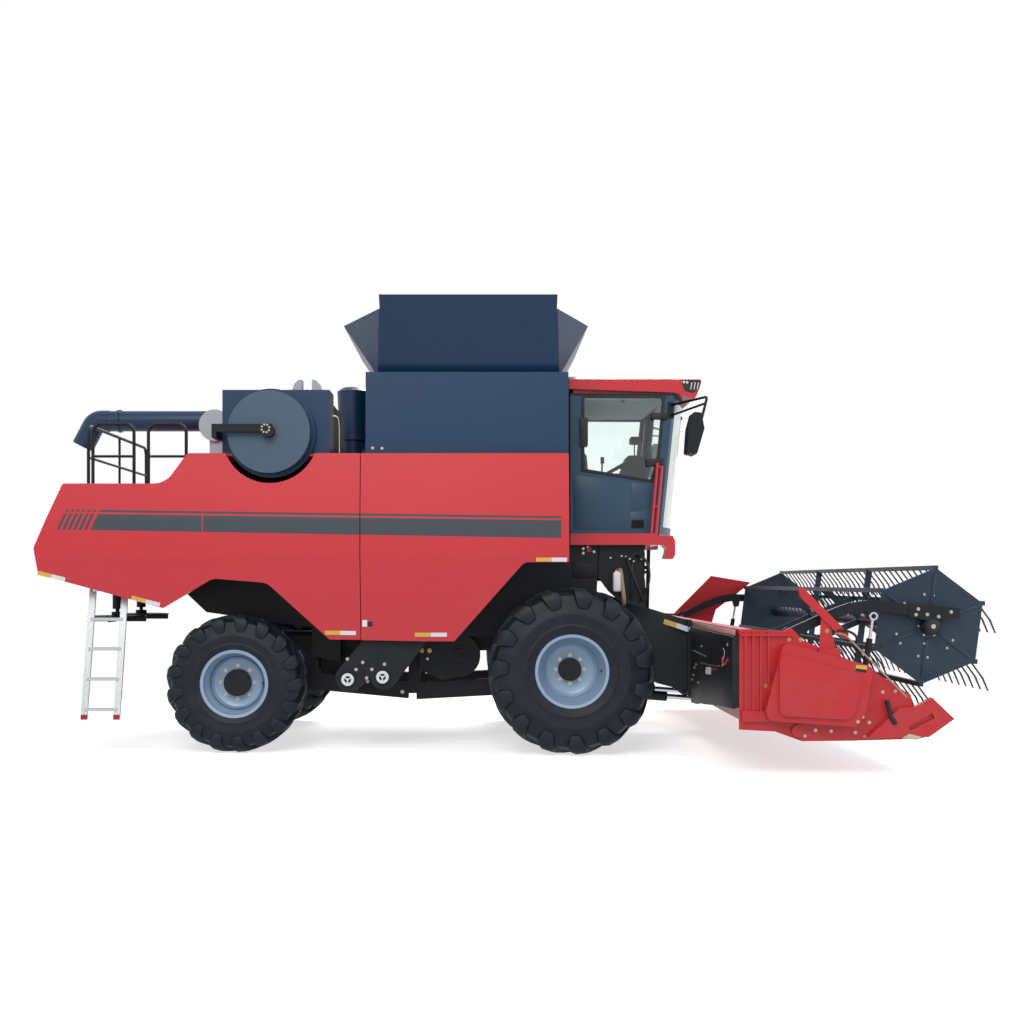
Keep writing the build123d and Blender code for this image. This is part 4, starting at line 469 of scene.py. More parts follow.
def plate(outline, y, thick, edge=0.003, bevels=2):
    """A sheet cut to an outline of x and z, from y by its thickness, with its edges eased."""
    piece = shape(outlined([(x, y, z) for x, z in outline]), FILLED, drawn_out(thick), EVERYTHING, OUTWARDS)
    return rounded(piece, edge, bevels) if edge else piece


def frame_round(outline, y, thick, width):
    """A flat frame inside an outline of x and z, as wide as told, from y by its thickness."""
    piece = shape(outlined([(x, y, z) for x, z in outline]), FILLED, inset(width),
                  (bpy.ops.mesh.delete, {"type": "ONLY_FACE"}), EVERYTHING, drawn_out(thick), EVERYTHING,
                  OUTWARDS)
    return rounded(piece, thick * 0.3)


def behind(outline, x, thick, edge):
    """A sheet across the machine, cut to an outline of y and z, with its rear face at x."""
    made = plate(outline, 0.0, thick, edge)
    made.data.transform(Matrix.Translation((x, 0, 0)) @ Matrix.Rotation(-math.pi / 2, 4, "Z")
                        @ Matrix.Scale(-1, 4, (1, 0, 0)))
    return shape(made, OUTWARDS)


def hose(points, radius, sides=3):
    """A tube through its points, smooth where it bends, made a mesh."""
    pick()
    bpy.ops.curve.primitive_nurbs_path_add()
    path = bpy.context.object
    line = path.data
    line.splines.clear()
    spline = line.splines.new("NURBS")
    spline.points.add(len(points) - 1)
    for point, place in zip(spline.points, points):
        point.co = (*place, 1.0)
    spline.use_endpoint_u, spline.order_u, spline.resolution_u = True, 3, 6
    line.bevel_depth, line.bevel_resolution, line.use_fill_caps = radius, sides, True
    bpy.ops.object.convert(target="MESH")
    return bpy.context.object


def hexagon(size, high):
    """A hexagon head on its washer, standing on the XY plane."""
    head = shape(rod(size * 0.56, high, (0, 0, high * 0.5), "Z", 6), inset(size * 0.08),
                 inset(size * 0.05, high * 0.12), choose=lambda at, way: way.z > 0.9)
    return joined([rod(size * 0.8, high * 0.25, (0, 0, high * 0.125), "Z", 10), head])


def heads(name, body, finish, size, high, places):
    """Bolt heads at points, each along its normal, as one piece."""
    kept(repeated(hexagon(size, high), [(at, turned(way)) for at, way in places]), name, finish, body=body)


# ---- wheels
LUG_HIGH = 0.044
# Stations along a lug: share of the half width outside and at the root, drop from the tread, swing round the
# wheel, and share of the lug's width outside and at the root.
LUG_STATIONS = [
    (0.0, 0.0, 0.0, 0.0, 1.0, 1.4), (0.28, 0.28, 0.0, 0.34, 1.0, 1.4),
    (0.56, 0.56, 0.002, 0.64, 1.15, 1.6), (0.78, 0.74, 0.01, 0.84, 1.7, 2.2),
    (0.9, 0.78, 0.038, 0.93, 2.6, 3.0), (0.965, 0.82, 0.085, 0.98, 2.7, 3.2),
    (0.985, 0.84, 0.135, 1.0, 2.3, 2.8), (0.965, 0.86, 0.185, 1.0, 1.7, 2.2),
]
BEAD_UNDER_FLANGE = 0.028            # how far the tyre's bead starts inside the rim's outer radius


def tyre(radius, half, rim_r, lugs, lug_w):
    """A lugged tyre about Y: a spun carcass with ribs and beads, and lugs bent over its shoulders."""
    base = radius - LUG_HIGH
    rise = base - rim_r
    # radius and share of half width, from the bead to the middle of the tread
    side = [(rim_r + 0.004, 0.78), (rim_r + 0.022, 0.8), (rim_r + 0.026, 0.84)]
    side += [(rim_r + share * rise, wide) for share, wide in (
        (0.22, 0.915), (0.24, 0.935), (0.27, 0.935), (0.29, 0.92), (0.46, 0.945), (0.49, 0.955),
        (0.53, 0.955), (0.56, 0.935), (0.78, 0.88), (0.92, 0.8))]
    side += [(base - 0.004, 0.66), (base, 0.42), (base, 0.0)]
    outline = [(r, -y * half) for r, y in side] + [(r, y * half) for r, y in reversed(side[:-1])]
    carcass = spun(outline + [(rim_r + 0.004, 0.0)], 72)
    # one lug at the top: from the tread's middle outwards at a slant, and down over the shoulder as a block
    last = len(LUG_STATIONS) - 1
    cuts = [move for k in range(1, last) for move in (EVERYTHING, cut_at((0, k, 0), (0, 1, 0)))]
    lug = shape(cube((2, last, 2), (0, last / 2, 0)), *cuts)
    for vertex in lug.data.vertices:
        x, y, z = vertex.co
        outside, root, drop, swing, wide, wide_root = LUG_STATIONS[round(y)]
        drop *= radius / 0.8
        if z > 0:
            level, across, spread = radius - drop, outside * half, wide * lug_w
        else:
            level, across, spread = min(base - 0.012, radius - drop - 0.02), root * half, wide_root * lug_w
        turn = (math.copysign(spread, x) + swing * half * 0.95) / radius
        vertex.co = (level * math.sin(turn), across, level * math.cos(turn))
    rounded(shape(lug, OUTWARDS), 0.006)
    other = shape(copied(lug, turn=Matrix.Scale(-1, 4, (0, 1, 0))), FLIPPED)
    bars = [repeated(bar, [((0, 0, 0), Matrix.Rotation(2 * math.pi * (k + step) / lugs, 4, "Y"))
                           for k in range(lugs)]) for bar, step in ((lug, 0.0), (other, 0.5))]
    return joined([carcass, *bars])


def rim(radius, half, face, hole, flat):
    """A pressed rim about Y, outer side at -Y: flanges, bead seats, the stepped well and the dished disc."""
    # millimetres down from the flange's radius, and in from the outer, the inner and again the outer flange
    outer = [(0, 4), (0, 12), (24, 20), (28, 85), (38, 98), (40, 112), (66, 150), (72, 165)]
    inner = [(72, 230), (66, 215), (34, 100), (24, 20), (0, 12), (0, 4), (5, 0), (33, 6), (43, 104),
             (80, 222)]
    under = [(81, 172), (75, 156), (49, 116), (47, 102), (37, 90), (32, 6), (5, 0)]
    barrel = [(radius - drop / 1000, end * (half - y / 1000))
              for end, rows in ((-1, outer), (1, inner), (-1, under)) for drop, y in rows]
    well = radius - 0.072
    disc = [(well - 0.004, face - 0.03), (well - 0.02, face - 0.034), (flat + 0.018, face - 0.012),
            (flat, face), (hole, face), (hole, face + 0.016), (flat + 0.004, face + 0.016),
            (flat + 0.022, face + 0.004), (well - 0.02, face - 0.018), (well - 0.004, face - 0.014)]
    return joined([spun(barrel, 72), spun(disc, 72)])


def measured(node):
    """A round node's middle, its radius, and half its width across Y."""
    low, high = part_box(node)
    return (low + high) / 2, (high.x - low.x) / 2, (high.y - low.y) / 2


AXLES = [  # name, lugs a side, half width of a lug, and the disc's depth, hub hole, bolt circle and flat part
    ("front", 15, 0.032, 0.3, 0.113, 0.137, 0.222),
    ("rear", 17, 0.024, 0.2, 0.133, 0.165, 0.215),
]
for axle, lugs, lug_w, disc_in, hole, bolt_r, flat in AXLES:
    _, tyre_r, tyre_half = measured(f"{axle}_tyre_right")
    _, rim_r, half = measured(f"{axle}_rim_right")
    face = -half + disc_in
    nut = joined([hexagon(0.026, 0.014), rod(0.008, 0.026, (0, 0, 0.013), "Z", 12)])
    valve_x = rim_r - 0.072
    parts = [
        (tyre(tyre_r, tyre_half, rim_r - BEAD_UNDER_FLANGE, lugs, lug_w), f"lugged_{axle}_tyre", tyre_rubber),
        (rim(rim_r, half, face, hole, flat), f"rim_{axle}_wheel", rim_silver),
        (repeated(nut, [(at, turned((0, -1, 0))) for at, _ in circle(0, face, 0, bolt_r, 8)]),
         f"wheel_nuts_{axle}_wheel", zinc),
        (joined([rod(0.005, 0.05, (valve_x, -half + 0.13, 0.0), "Y", 10),
                 rod(0.009, 0.016, (valve_x, -half + 0.108, 0.0), "Y", 10)]),
         f"tyre_valve_{axle}_wheel", black_plastic)]
    for pattern, word, finish in parts:
        for side, hand in SIDES:
            node = f"{axle}_{'tyre' if finish == tyre_rubber else 'rim'}_{hand}"
            over = side == LEFT and finish != tyre_rubber
            piece = copied(pattern, measured(node)[0], ABOUT if over else None)
            kept(piece, f"{word}_{hand}", finish, body=f"{axle}_wheel_{hand}",
                 angle=32 if finish == tyre_rubber else 35)
            if finish in (tyre_rubber, rim_silver):
                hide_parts(node)
        bpy.data.objects.remove(pattern)

# ---- bolts, hoses, sheets and blocks, from tables
END_BOLTS = [(3.025, 0.395), (3.157, 0.388), (3.425, 0.508), (3.481, 0.461), (3.362, 0.376), (3.633, 0.601),
             (3.666, 0.484)]         # on both of the header's ends
BOLTS = [  # name, node, body, finish, size, high, side, places of x and z
    ("boot_bolts", "elevators", "chassis", zinc, 0.021, 0.01, RIGHT,
     [(-0.95, 0.872), (-1.014, 0.804), (-0.739, 0.855), (-1.098, 0.905), (-0.861, 0.805), (-0.911, 0.722)]),
    ("sill_bolts", "threshing_body", "chassis", yellow_zinc, 0.03, 0.014, RIGHT,
     [(-0.404, 0.954), (-0.328, 0.954)]),
    ("housing_bolts", "threshing_body", "chassis", zinc, 0.018, 0.009, RIGHT,
     [(-0.348, 0.871), (-0.055, 0.905), (0.006, 0.928), (-0.005, 0.867), (1.277, 2.004), (1.233, 1.989),
      (1.233, 1.943), (1.342, 1.957)]),
    ("chord_bolts", "chassis_frame", "chassis", zinc, 0.024, 0.012, RIGHT, [(-0.613, 0.522), (-0.97, 0.63)]),
    ("tank_bolts", "grain_tank", "chassis", zinc, 0.018, 0.009, RIGHT, [(-0.852, 2.944), (-0.762, 2.941)]),
    ("header_end_bolts_right", "header_end_right", "header", zinc, 0.019, 0.009, RIGHT, END_BOLTS + [
        (2.934, 0.348), (3.594, 0.719), (3.701, 0.725), (3.351, 0.479), (3.442, 0.339)]),
    ("header_end_bolts_left", "header_end_left", "header", zinc, 0.019, 0.009, LEFT, END_BOLTS),
    ("cover_bolts", "header_end_right", "header", yellow_zinc, 0.024, 0.01, RIGHT,
     [(3.12, 1.235), (2.607, 0.768), (2.801, 1.162), (2.899, 1.162)]),
]
for name, node, body, finish, size, high, side, places in BOLTS:
    heads(name, body, finish, size, high, [facing(node, x, z, side) for x, z in places])

BACK = 2.322                         # x of the rear face of the header's drive cover
HOSES = [  # name, radius, sides, finish, points, and body and slot where they aren't the usual ones
    ("rack_hose_1", 0.013, 4, hose_rubber, [
        (1.762, -0.78, 1.911), (1.8, -0.86, 1.925), (1.872, -0.87, 1.851), (1.897, -0.87, 1.72),
        (1.872, -0.85, 1.57), (1.792, -0.78, 1.439)]),
    ("rack_hose_2", 0.012, 4, hose_rubber, [
        (1.722, -0.78, 1.88), (1.722, -0.85, 1.871), (1.716, -0.87, 1.67), (1.711, -0.84, 1.5),
        (1.711, -0.78, 1.469)]),
    ("rack_hose_3", 0.012, 4, hose_rubber, [
        (1.661, -0.78, 1.911), (1.67, -0.86, 1.9), (1.7, -0.88, 1.78), (1.77, -0.88, 1.6),
        (1.832, -0.84, 1.47), (1.835, -0.78, 1.45)]),
    ("drain_pipe", 0.022, 4, tan_nylon, [
        (1.608, -0.78, 1.775), (1.608, -0.83, 1.761), (1.625, -0.835, 1.6), (1.643, -0.83, 1.449),
        (1.645, -0.78, 1.43)]),
    ("engine_pipe", 0.012, 4, zinc, [
        (-1.285, -1.1, 3.285), (-1.235, -1.1, 3.29), (-1.205, -1.1, 3.25), (-1.203, -1.1, 3.05),
        (-1.203, -1.1, 2.885)], "chassis", "trim_plastic"),
    ("cover_stay", 0.006, 2, zinc, [
        (BACK - 0.004, -0.892, 0.967), (BACK - 0.012, -1.2, 0.96), (BACK - 0.004, -1.59, 0.947)], "header"),
    ("cover_latch_rod", 0.005, 2, zinc, [
        (BACK - 0.004, -2.38, 1.07), (BACK - 0.012, -2.48, 1.052), (BACK - 0.012, -2.5, 1.04),
        (BACK - 0.012, -2.405, 0.931), (BACK - 0.004, -2.361, 0.91)], "header"),
    ("cover_hook", 0.01, 3, red_plastic, [
        (BACK - 0.004, -2.38, 0.99), (BACK - 0.014, -2.4, 0.95), (BACK - 0.014, -2.47, 0.935),
        (BACK - 0.014, -2.55, 0.945), (BACK - 0.004, -2.59, 0.99)], "header", "red_paint"),
    ("end_cable", 0.008, 3, tan_nylon, [
        (3.19, -2.755, 1.215), (3.25, -2.795, 1.215), (3.3, -2.805, 1.17), (3.452, -2.815, 1.008),
        (3.72, -2.83, 0.735), (3.775, -2.806, 0.683)], "header"),
    ("end_hose", 0.011, 3, hose_rubber, [
        (3.18, -2.757, 1.235), (3.24, -2.79, 1.25), (3.33, -2.8, 1.222), (3.372, -2.8, 1.17),
        (3.36, -2.752, 1.12)], "header"),
    ("end_sleeve_high", 0.02, 3, hose_rubber, [
        (3.612, -2.805, 0.655), (3.622, -2.812, 0.6), (3.637, -2.805, 0.543)], "header"),
    ("end_sleeve_low", 0.022, 3, hose_rubber, [
        (3.637, -2.803, 0.527), (3.66, -2.812, 0.495), (3.683, -2.803, 0.458)], "header"),
]
for name, radius, sides, finish, points, *where in HOSES:
    kept(hose(points, radius, sides), name, finish, **dict(zip(("body", "slot"), where)))

WALL = -0.81                        # y of the outer face of the cab's right wall
SHEETS = [  # name, body, finish, y, thickness, edge, outline of x and z
    *[(f"cab_wall_panel_{k + 1}", "chassis", slate_blue, WALL - 0.003, 0.005, 0.002, outline)
      for k, outline in enumerate([
          [(1.712, 2.375), (1.905, 2.392), (1.922, 2.625), (1.722, 2.655)],
          [(1.693, 2.18), (1.885, 2.18), (1.9, 2.372), (1.708, 2.355)],
          [(1.13, 2.18), (1.675, 2.18), (1.69, 2.355), (1.704, 2.66), (1.13, 2.735)]])],
    ("blank_plate_top", "header", tape_yellow, -2.857, 0.002, 0,
     [(3.336, 0.956), (3.428, 0.948), (3.424, 0.915), (3.332, 0.928)]),
    ("blank_plate_foot", "header", black_plastic, -2.857, 0.002, 0,
     [(3.332, 0.928), (3.424, 0.915), (3.419, 0.888), (3.334, 0.904)]),
    # the nose's pale tip: painted highlight, in the pale highlight enamel
    ("nose_tip_right", "header", pale_highlight_paint, -2.773, 0.004, 0.001,
     [(4.085, 0.54), (4.176, 0.497), (4.09, 0.438)]),
    ("skid_end_right", "header", zinc, -2.81, 0.01, 0.002,
     [(3.735, 0.335), (3.8, 0.372), (3.905, 0.345), (3.86, 0.322)]),
]
for name, body, finish, y, thick, edge, outline in SHEETS:
    kept(plate(outline, y, thick, edge), name, finish, body=body)

BEHIND = [  # name, finish, x, thickness, edge, outline of y and z
    # a pale strip of painted highlight along the top beam's rear face
    ("top_beam_highlight", pale_highlight_paint, 2.345, 0.008, 0.003,
     [(-0.8, 1.196), (-2.72, 1.196), (-2.72, 1.246), (-0.8, 1.246)]),
    ("cover_label", white_plastic, BACK - 0.001, 0.002, 0,
     [(-1.59, 0.848), (-1.84, 0.862), (-1.82, 0.793), (-1.56, 0.779)]),
    ("cover_red_mark", red_plastic, BACK - 0.001, 0.002, 0,
     [(-1.876, 0.86), (-2.1, 0.87), (-2.1, 0.856), (-1.876, 0.845)]),
    ("cover_fold", zinc, BACK - 0.006, 0.008, 0.002,
     [(-1.3, 0.862), (-1.8, 0.874), (-2.18, 0.894), (-2.18, 0.902), (-1.8, 0.884), (-1.3, 0.874)]),
]
for name, finish, x, thick, edge, outline in BEHIND:
    kept(behind(outline, x, thick, edge), name, finish, body="header")

BLOCKS = [  # name, finish, size, middle, edge
    ("roof_seal_right", hose_rubber, (1.1, 0.012, 0.02), (1.66, -0.816, 3.552), 0.004),
    ("roof_seal_left", hose_rubber, (1.1, 0.012, 0.02), (1.66, 0.816, 3.552), 0.004),
    ("ceiling_liner", liner, (0.8, 1.46, 0.025), (1.64, -0.02, 3.512), 0.008),
    ("side_reflector", red_plastic, (0.05, 0.008, 0.06), (1.289, -0.783, 1.984), 0.003),
    ("inspection_plate", chassis_black, (0.235, 0.012, 0.15), (1.238, -0.784, 1.768), 0.004),
]
for name, finish, size, at, edge in BLOCKS:
    kept(cube(size, at, edge), name, finish)

# ---- cab
SEAL = [(1.209, 2.768), (1.934, 2.652), (2.004, 2.886), (2.066, 3.546), (1.209, 3.556)]
DOOR_SEAL = [(1.308, 2.278), (1.926, 2.278), (2.058, 3.518), (1.292, 3.522)]
kept(frame_round(SEAL, WALL - 0.005, 0.012, 0.034), "window_seal", hose_rubber)
kept(frame_round(DOOR_SEAL, 0.804, 0.011, 0.03), "door_seal", hose_rubber, body="cab_door_leaf")
LATCH = [(1.205, 3.013), (1.262, 3.013), (1.276, 3.034), (1.276, 3.296), (1.262, 3.315), (1.205, 3.315),
         (1.193, 3.3), (1.193, 3.028)]
kept([plate(LATCH, WALL - 0.022, 0.022, 0.004)] +
     [rod(0.011, 0.01, (1.232, WALL - 0.024, z), sides=20) for z in (3.1, 3.22)],
     "window_latch", black_plastic)
covers = []
for x0, z0, x1, z1 in ((1.913, 3.29, 2.078, 3.358), (1.863, 2.817, 2.042, 2.898)):
    middle = (z0 + z1) / 2
    covers += [cube((x1 - x0, 0.026, z1 - z0), ((x0 + x1) / 2, WALL - 0.013, middle), 0.024, 4),
               rod(0.012, 0.012, (x1 - 0.04, WALL - 0.026, middle), sides=20)]
kept(covers, "window_hinge_covers", black_plastic)
vent = [plate([(1.712, 2.192), (1.843, 2.192), (1.848, 2.283), (1.717, 2.283)], WALL - 0.006, 0.006, 0.002)]
vent += [cube((0.12, 0.01, 0.008), (1.78, WALL - 0.008, 2.206 + 0.016 * k), turn=(0.6, 0, 0))
         for k in range(5)]
kept(vent, "cab_vent", black_plastic)
kept(rod(0.018, 0.02, (1.64, -0.74, 3.487), "Z", 24, 0.014), "ceiling_knob", black_plastic)
RECESS = [(2.225, 3.655), (2.255, 3.58), (2.335, 3.56), (2.4, 3.6), (2.41, 3.69), (2.3, 3.694),
          (2.235, 3.69)]
for side, word in SIDES:             # lamp clusters in the roof's front corners
    y = side * 0.832
    kept(plate(RECESS, y - 0.002, 0.004, 0.001, 1), f"lamp_recess_{word}", black_plastic)
    glasses = [rod(0.013, 0.01, (x, y + side * 0.003, z), sides=20)
               for x, z in ((2.244, 3.668), (2.276, 3.666))]
    glasses += [cube((0.01, 0.006, 0.075), (x, y + side * 0.003, 3.63), 0.003, turn=(0, 0.18, 0))
                for x in (2.318, 2.352, 2.384)]
    kept(glasses, f"corner_lamps_{word}", lamp_lens)


def screen_at(y, z, off):
    """A point in front of the windscreen."""
    hit, point, _, _ = NODES["cab_glass"].ray_cast(Vector((4.0, y, z)), Vector((-1, 0, 0)))
    if not hit:
        raise ValueError(f"no windscreen at {y}, {z}")
    return point + Vector((off, 0, 0))


arm = [screen_at(0.0, z, 0.018) for z in (3.42, 3.3, 3.15, 3.0)]
blade = [screen_at(0.03, z, 0.008) for z in (3.25, 3.1, 2.95, 2.8)]
kept([hose(arm, 0.006, 2), hose(blade, 0.007, 2), rod(0.02, 0.03, arm[0], "X", 20)],
     "windscreen_wiper", black_plastic)


# ---- driver's place
def padded_block(size, voxel, spare, cap):
    """A cushion: a smaller block, remeshed, blown up by cloth pressure, held to its cap, and smoothed."""
    block = cube([one - 2 * spare for one in size], edge=0.02, steps=3)
    changed(block, "REMESH", mode="VOXEL", voxel_size=voxel)
    before = [vertex.co.copy() for vertex in block.data.vertices]
    cloth = block.modifiers.new("cloth", "CLOTH")
    cloth.settings.use_pressure, cloth.settings.uniform_pressure_force = True, 4.0
    cloth.settings.effector_weights.gravity = 0.0
    cloth.point_cache.frame_start, cloth.point_cache.frame_end = 1, 20
    for frame_number in range(1, 21):
        bpy.context.scene.frame_set(frame_number)
    pick(block)
    bpy.ops.object.modifier_apply(modifier=cloth.name)
    bpy.context.scene.frame_set(1)
    for vertex, start in zip(block.data.vertices, before):
        move = vertex.co - start
        if move.length > cap:
            vertex.co = start + move * (cap / move.length)
    return changed(block, "SUBSURF", levels=1, render_levels=1)


def sewn(block, axis, lines, top, deep=0.01, half=0.01):
    """Presses sewn channels into the face that looks along an axis, along lines at these Y."""
    for vertex in block.data.vertices:
        for line in lines:
            away = abs(vertex.co.y - line) / half
            if vertex.co[axis] > top and away < 1:
                vertex.co[axis] -= deep * (0.5 + 0.5 * math.cos(math.pi * away))


BACK_LEAN = -0.103
PADS = [  # name, size, middle, lean, voxel, shrink, cap, channel axis, channels
    ("seat_cushion", (0.5, 0.49, 0.14), (1.506, 0, 2.549), 0.0, 0.007, 0.013, 0.022, 2, (-0.15, 0.15)),
    ("seat_back", (0.115, 0.47, 0.44), (1.272, 0, 2.835), BACK_LEAN, 0.007, 0.012, 0.022, 0, (-0.14, 0.14)),
    ("seat_headrest", (0.1, 0.27, 0.16), (1.236, 0, 3.16), BACK_LEAN, 0.006, 0.01, 0.016, 0, ()),
]
for name, size, at, lean, voxel, spare, cap, axis, lines in PADS:
    pad = padded_block(size, voxel, spare, cap)
    sewn(pad, axis, lines, 0.3 * size[axis])
    pad.data.transform(Matrix.Translation(at) @ Matrix.Rotation(lean, 4, "Y"))
    kept(pad, name, seat_cloth)
    if name == "seat_cushion":
        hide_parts("seat")
bellows = [cube((wide, wide + 0.01, 0.052), (1.495, 0, 2.205 + 0.046 * k), 0.018, 3)
           for k, wide in enumerate((0.3, 0.34) * 3)]
kept(bellows, "seat_bellows", hose_rubber)
frame_parts = [cube((0.42, 0.4, 0.024), (1.5, 0, 2.474), 0.008),
               cube((0.022, 0.4, 0.5), (1.204, 0, 2.8), 0.008, turn=(0, BACK_LEAN, 0))]
for side, _ in SIDES:
    frame_parts += [rod(0.008, 0.12, (1.248, side * 0.06, 3.07), "Z", 16),
                    cube((0.3, 0.034, 0.045), (1.44, side * 0.232, 2.79), 0.015, 3),
                    rod(0.022, 0.03, (1.3, side * 0.232, 2.785), "Y", 24)]
kept(frame_parts, "seat_frame_and_armrests", black_plastic)

# ---- bottle, fittings, caps and labels low down
fittings = []
for x, z in ((1.504, 1.894), (1.617, 1.912), (1.661, 1.905), (1.7, 1.884), (1.738, 1.86), (1.819, 1.882),
             (1.86, 1.873)):
    fittings += [rod(0.011, 0.04, (x, -0.802, z), sides=6), rod(0.008, 0.02, (x, -0.82, z), sides=16)]
kept(fittings, "hose_fittings", zinc)
kept(shape(cube((0.078, 0.07, 0.2), (1.567, -0.826, 1.65), 0.022, 4), inset(0.006), inset(0.004, 0.012),
           choose=lambda at, way: way.z > 0.95), "washer_bottle", white_plastic)
kept(rod(0.017, 0.022, (1.567, -0.826, 1.773), "Z", 24), "washer_bottle_cap", red_plastic)
CAP = [(0.033, -0.004), (0.036, -0.01), (0.058, -0.01), (0.062, -0.004), (0.062, 0.004), (0.033, 0.004)]
for name, x, z in (("boot_cap_1", -1.092, 0.709), ("boot_cap_2", -0.756, 0.732)):
    spokes = [cube((0.034, 0.008, 0.012), (0.016 * math.cos(a), 0, 0.016 * math.sin(a)), turn=(0, -a, 0))
              for a in (0.5, 2.6, 4.7)]
    whole = joined([spun(CAP, 40), *spokes, rod(0.012, 0.014, (0, 0, 0), sides=20)])
    kept(repeated(whole, [((x, -1.367, z), None)]), name, white_plastic)
hub = spun([(0.0, -0.022), (0.022, -0.022), (0.026, -0.012), (0.06, -0.01), (0.066, -0.004), (0.09, -0.004),
            (0.094, 0.002), (0.0, 0.002)], 48)
kept(repeated(hub, [((-0.022, -0.782, 0.915), None)]), "fan_hub", chassis_black)
for name, x, z, wide, high, finish in (("door_label", -0.922, 1.254, 0.046, 0.064, white_plastic),
                                       ("door_label_dark", -0.87, 1.247, 0.045, 0.05, black_plastic)):
    point, normal = facing("side_door_right", x, z, RIGHT)
    kept(repeated(cube((high, wide, 0.001)), [(point, turned(normal, "X"))]), name, finish,
         body="panel_door_right")
heads("screen_hub_bolts", "chassis", zinc, 0.012, 0.006,
      [(at, (0, -1, 0)) for at, _ in circle(-1.847, -1.571, 3.105, 0.038, 8, 0.3)])

# ---- drive cover behind the header's back wall
COVER = [(-0.79, 0.428), (-1.05, 0.44), (-1.27, 0.47), (-1.485, 0.482), (-2.209, 0.545), (-2.742, 0.575),
         (-2.742, 1.19), (-1.957, 1.189), (-0.79, 1.2)]
cover_end = cube((0.056, 0.012, 0.6), (BACK + 0.029, -2.74, 0.884), 0.003)
kept([behind(COVER, BACK, 0.03, 0.006), cover_end], "header_drive_cover", chassis_black,
     body="header")
heads("cover_face_bolts", "header", zinc, 0.02, 0.01,
      [((BACK, y, z), (-1, 0, 0)) for y, z in (
          (-1.378, 1.032), (-2.566, 1.109), (-1.084, 0.839), (-1.008, 0.802), (-0.943, 0.724),
          (-0.861, 0.671), (-1.196, 0.668))])

# ---- reflective tape
TAPE_HIGH, TAPE_THICK = 0.052, 0.0015
TAPES = [  # name, node, body, x of its two ends, z of its middle at each end
    ("tail", "rear_panel_{}", "chassis", (-4.036, -3.778), (1.745, 1.68)),
    ("wheel", "rear_panel_{}", "chassis", (-3.15, -2.88), (1.508, 1.437)),
    ("rear_door", "rear_panel_{}", "chassis", (-1.306, -1.008), (1.17, 1.166)),
    ("door", "side_door_{}", "panel_door_{}", (-0.44, -0.133), (1.15, 1.15)),
    ("fender", "side_door_{}", "panel_door_{}", (0.719, 1.015), (1.87, 1.87)),
    ("feeder", "feeder_house", "header", (2.078, 2.33), (1.245, 1.162)),
]


def tape(node, ends, levels, side):
    """One strip, yellow on its rear half and white on its front half, laid on the sheet."""
    (x0, x1), (z0, z1) = ends, levels
    a, b = facing(node, x0, z0, side)[0], facing(node, x1, z1, side)[0]
    strip = cube(((b - a).length, TAPE_THICK, TAPE_HIGH), edge=0.0005, steps=1)
    shape(strip, cut_at((0, 0, 0), (1, 0, 0)))
    for face in strip.data.polygons:
        face.material_index = 0 if face.center.x < 0 else 1
    pitch, lean = math.atan2((b - a).y, (b - a).x), math.atan2(z1 - z0, x1 - x0)
    strip.data.transform(Matrix.Translation((a + b) / 2 + Vector((0, side * TAPE_THICK * 0.6, 0)))
                         @ Matrix.Rotation(pitch, 4, "Z") @ Matrix.Rotation(-lean, 4, "Y"))
    return strip


for name, node, body, ends, levels in TAPES:
    for side, word in SIDES:
        kept(tape(node.format(word), ends, levels, side), f"tape_{name}_{word}", tape_yellow, tape_white,
             body=body.format(word))

# ---- reel, knife, lamps, handle and ladder's feet
REEL_X, REEL_Z = 4.04, 1.272
FIRST_BAT = 22.7                     # degrees from +X towards +Z
PLATE_BOLTS = [(4.004, 1.544), (4.084, 1.536), (3.832, 1.468), (3.764, 1.204), (3.798, 1.124), (3.878, 1.208),
               (4.249, 1.15), (4.199, 1.082), (4.004, 1.121), (3.951, 1.014), (4.031, 1.002)]
ARM_BOLTS = [(3.997, 1.374), (4.093, 1.355), (3.9, 1.372), (3.92, 1.42), (4.2, 1.395), (4.076, 1.3)]
for side, word in SIDES:
    face = side * 2.6
    ribs = [cube((0.33, 0.01, 0.03), at, 0.004, turn=(0, -a, 0))
            for at, a in circle(REEL_X, face + side * 0.003, REEL_Z, 0.285, 6, math.radians(FIRST_BAT))]
    flange = spun([(0.064, -0.008), (0.105, -0.008), (0.112, 0.002), (0.064, 0.002)], 40)
    turn = None if side == RIGHT else ABOUT
    ribs.append(repeated(flange, [((REEL_X, face, REEL_Z), turn)]))
    kept(ribs, f"reel_plate_ribs_{word}", reel_grey, body="reel_rotor")
    places = [facing("reel", x, z, side) for x, z in PLATE_BOLTS]
    places += [(at, (0, side, 0)) for at, _ in circle(REEL_X, face + side * 0.008, REEL_Z, 0.088, 6)]
    heads(f"reel_plate_bolts_{word}", "reel_rotor", zinc, 0.014, 0.007, places)
    heads(f"reel_arm_bolts_{word}", "reel_lift", zinc, 0.019, 0.008,
          [facing("reel_arms", x, z, side) for x, z in ARM_BOLTS])
    cap = joined([rod(radius, length, (REEL_X, side * y, REEL_Z), sides=40)
                  for radius, length, y in ((0.062, 0.014, 2.692), (0.05, 0.02, 2.695))])
    kept(rounded(cap, 0.003), f"reel_bearing_cap_{word}", black_plastic, body="reel_lift")
    kept(rod(0.02, 0.01, (REEL_X, side * 2.708, REEL_Z)), f"reel_shaft_end_{word}", zinc, body="reel_lift")
    lens = [cube((0.01, 0.052, 0.066), (-4.06, side * (1.15 + step), 2.065), 0.004)
            for step in (-0.054, 0.0, 0.054)]
    kept(lens, f"tail_lens_{word}", red_plastic)
section = plate([(3.738, 0.034), (3.738, -0.034), (3.812, -0.006), (3.812, 0.006)], 0.0, 0.003, 0)
lying = Matrix.Rotation(-math.pi / 2, 4, "X")
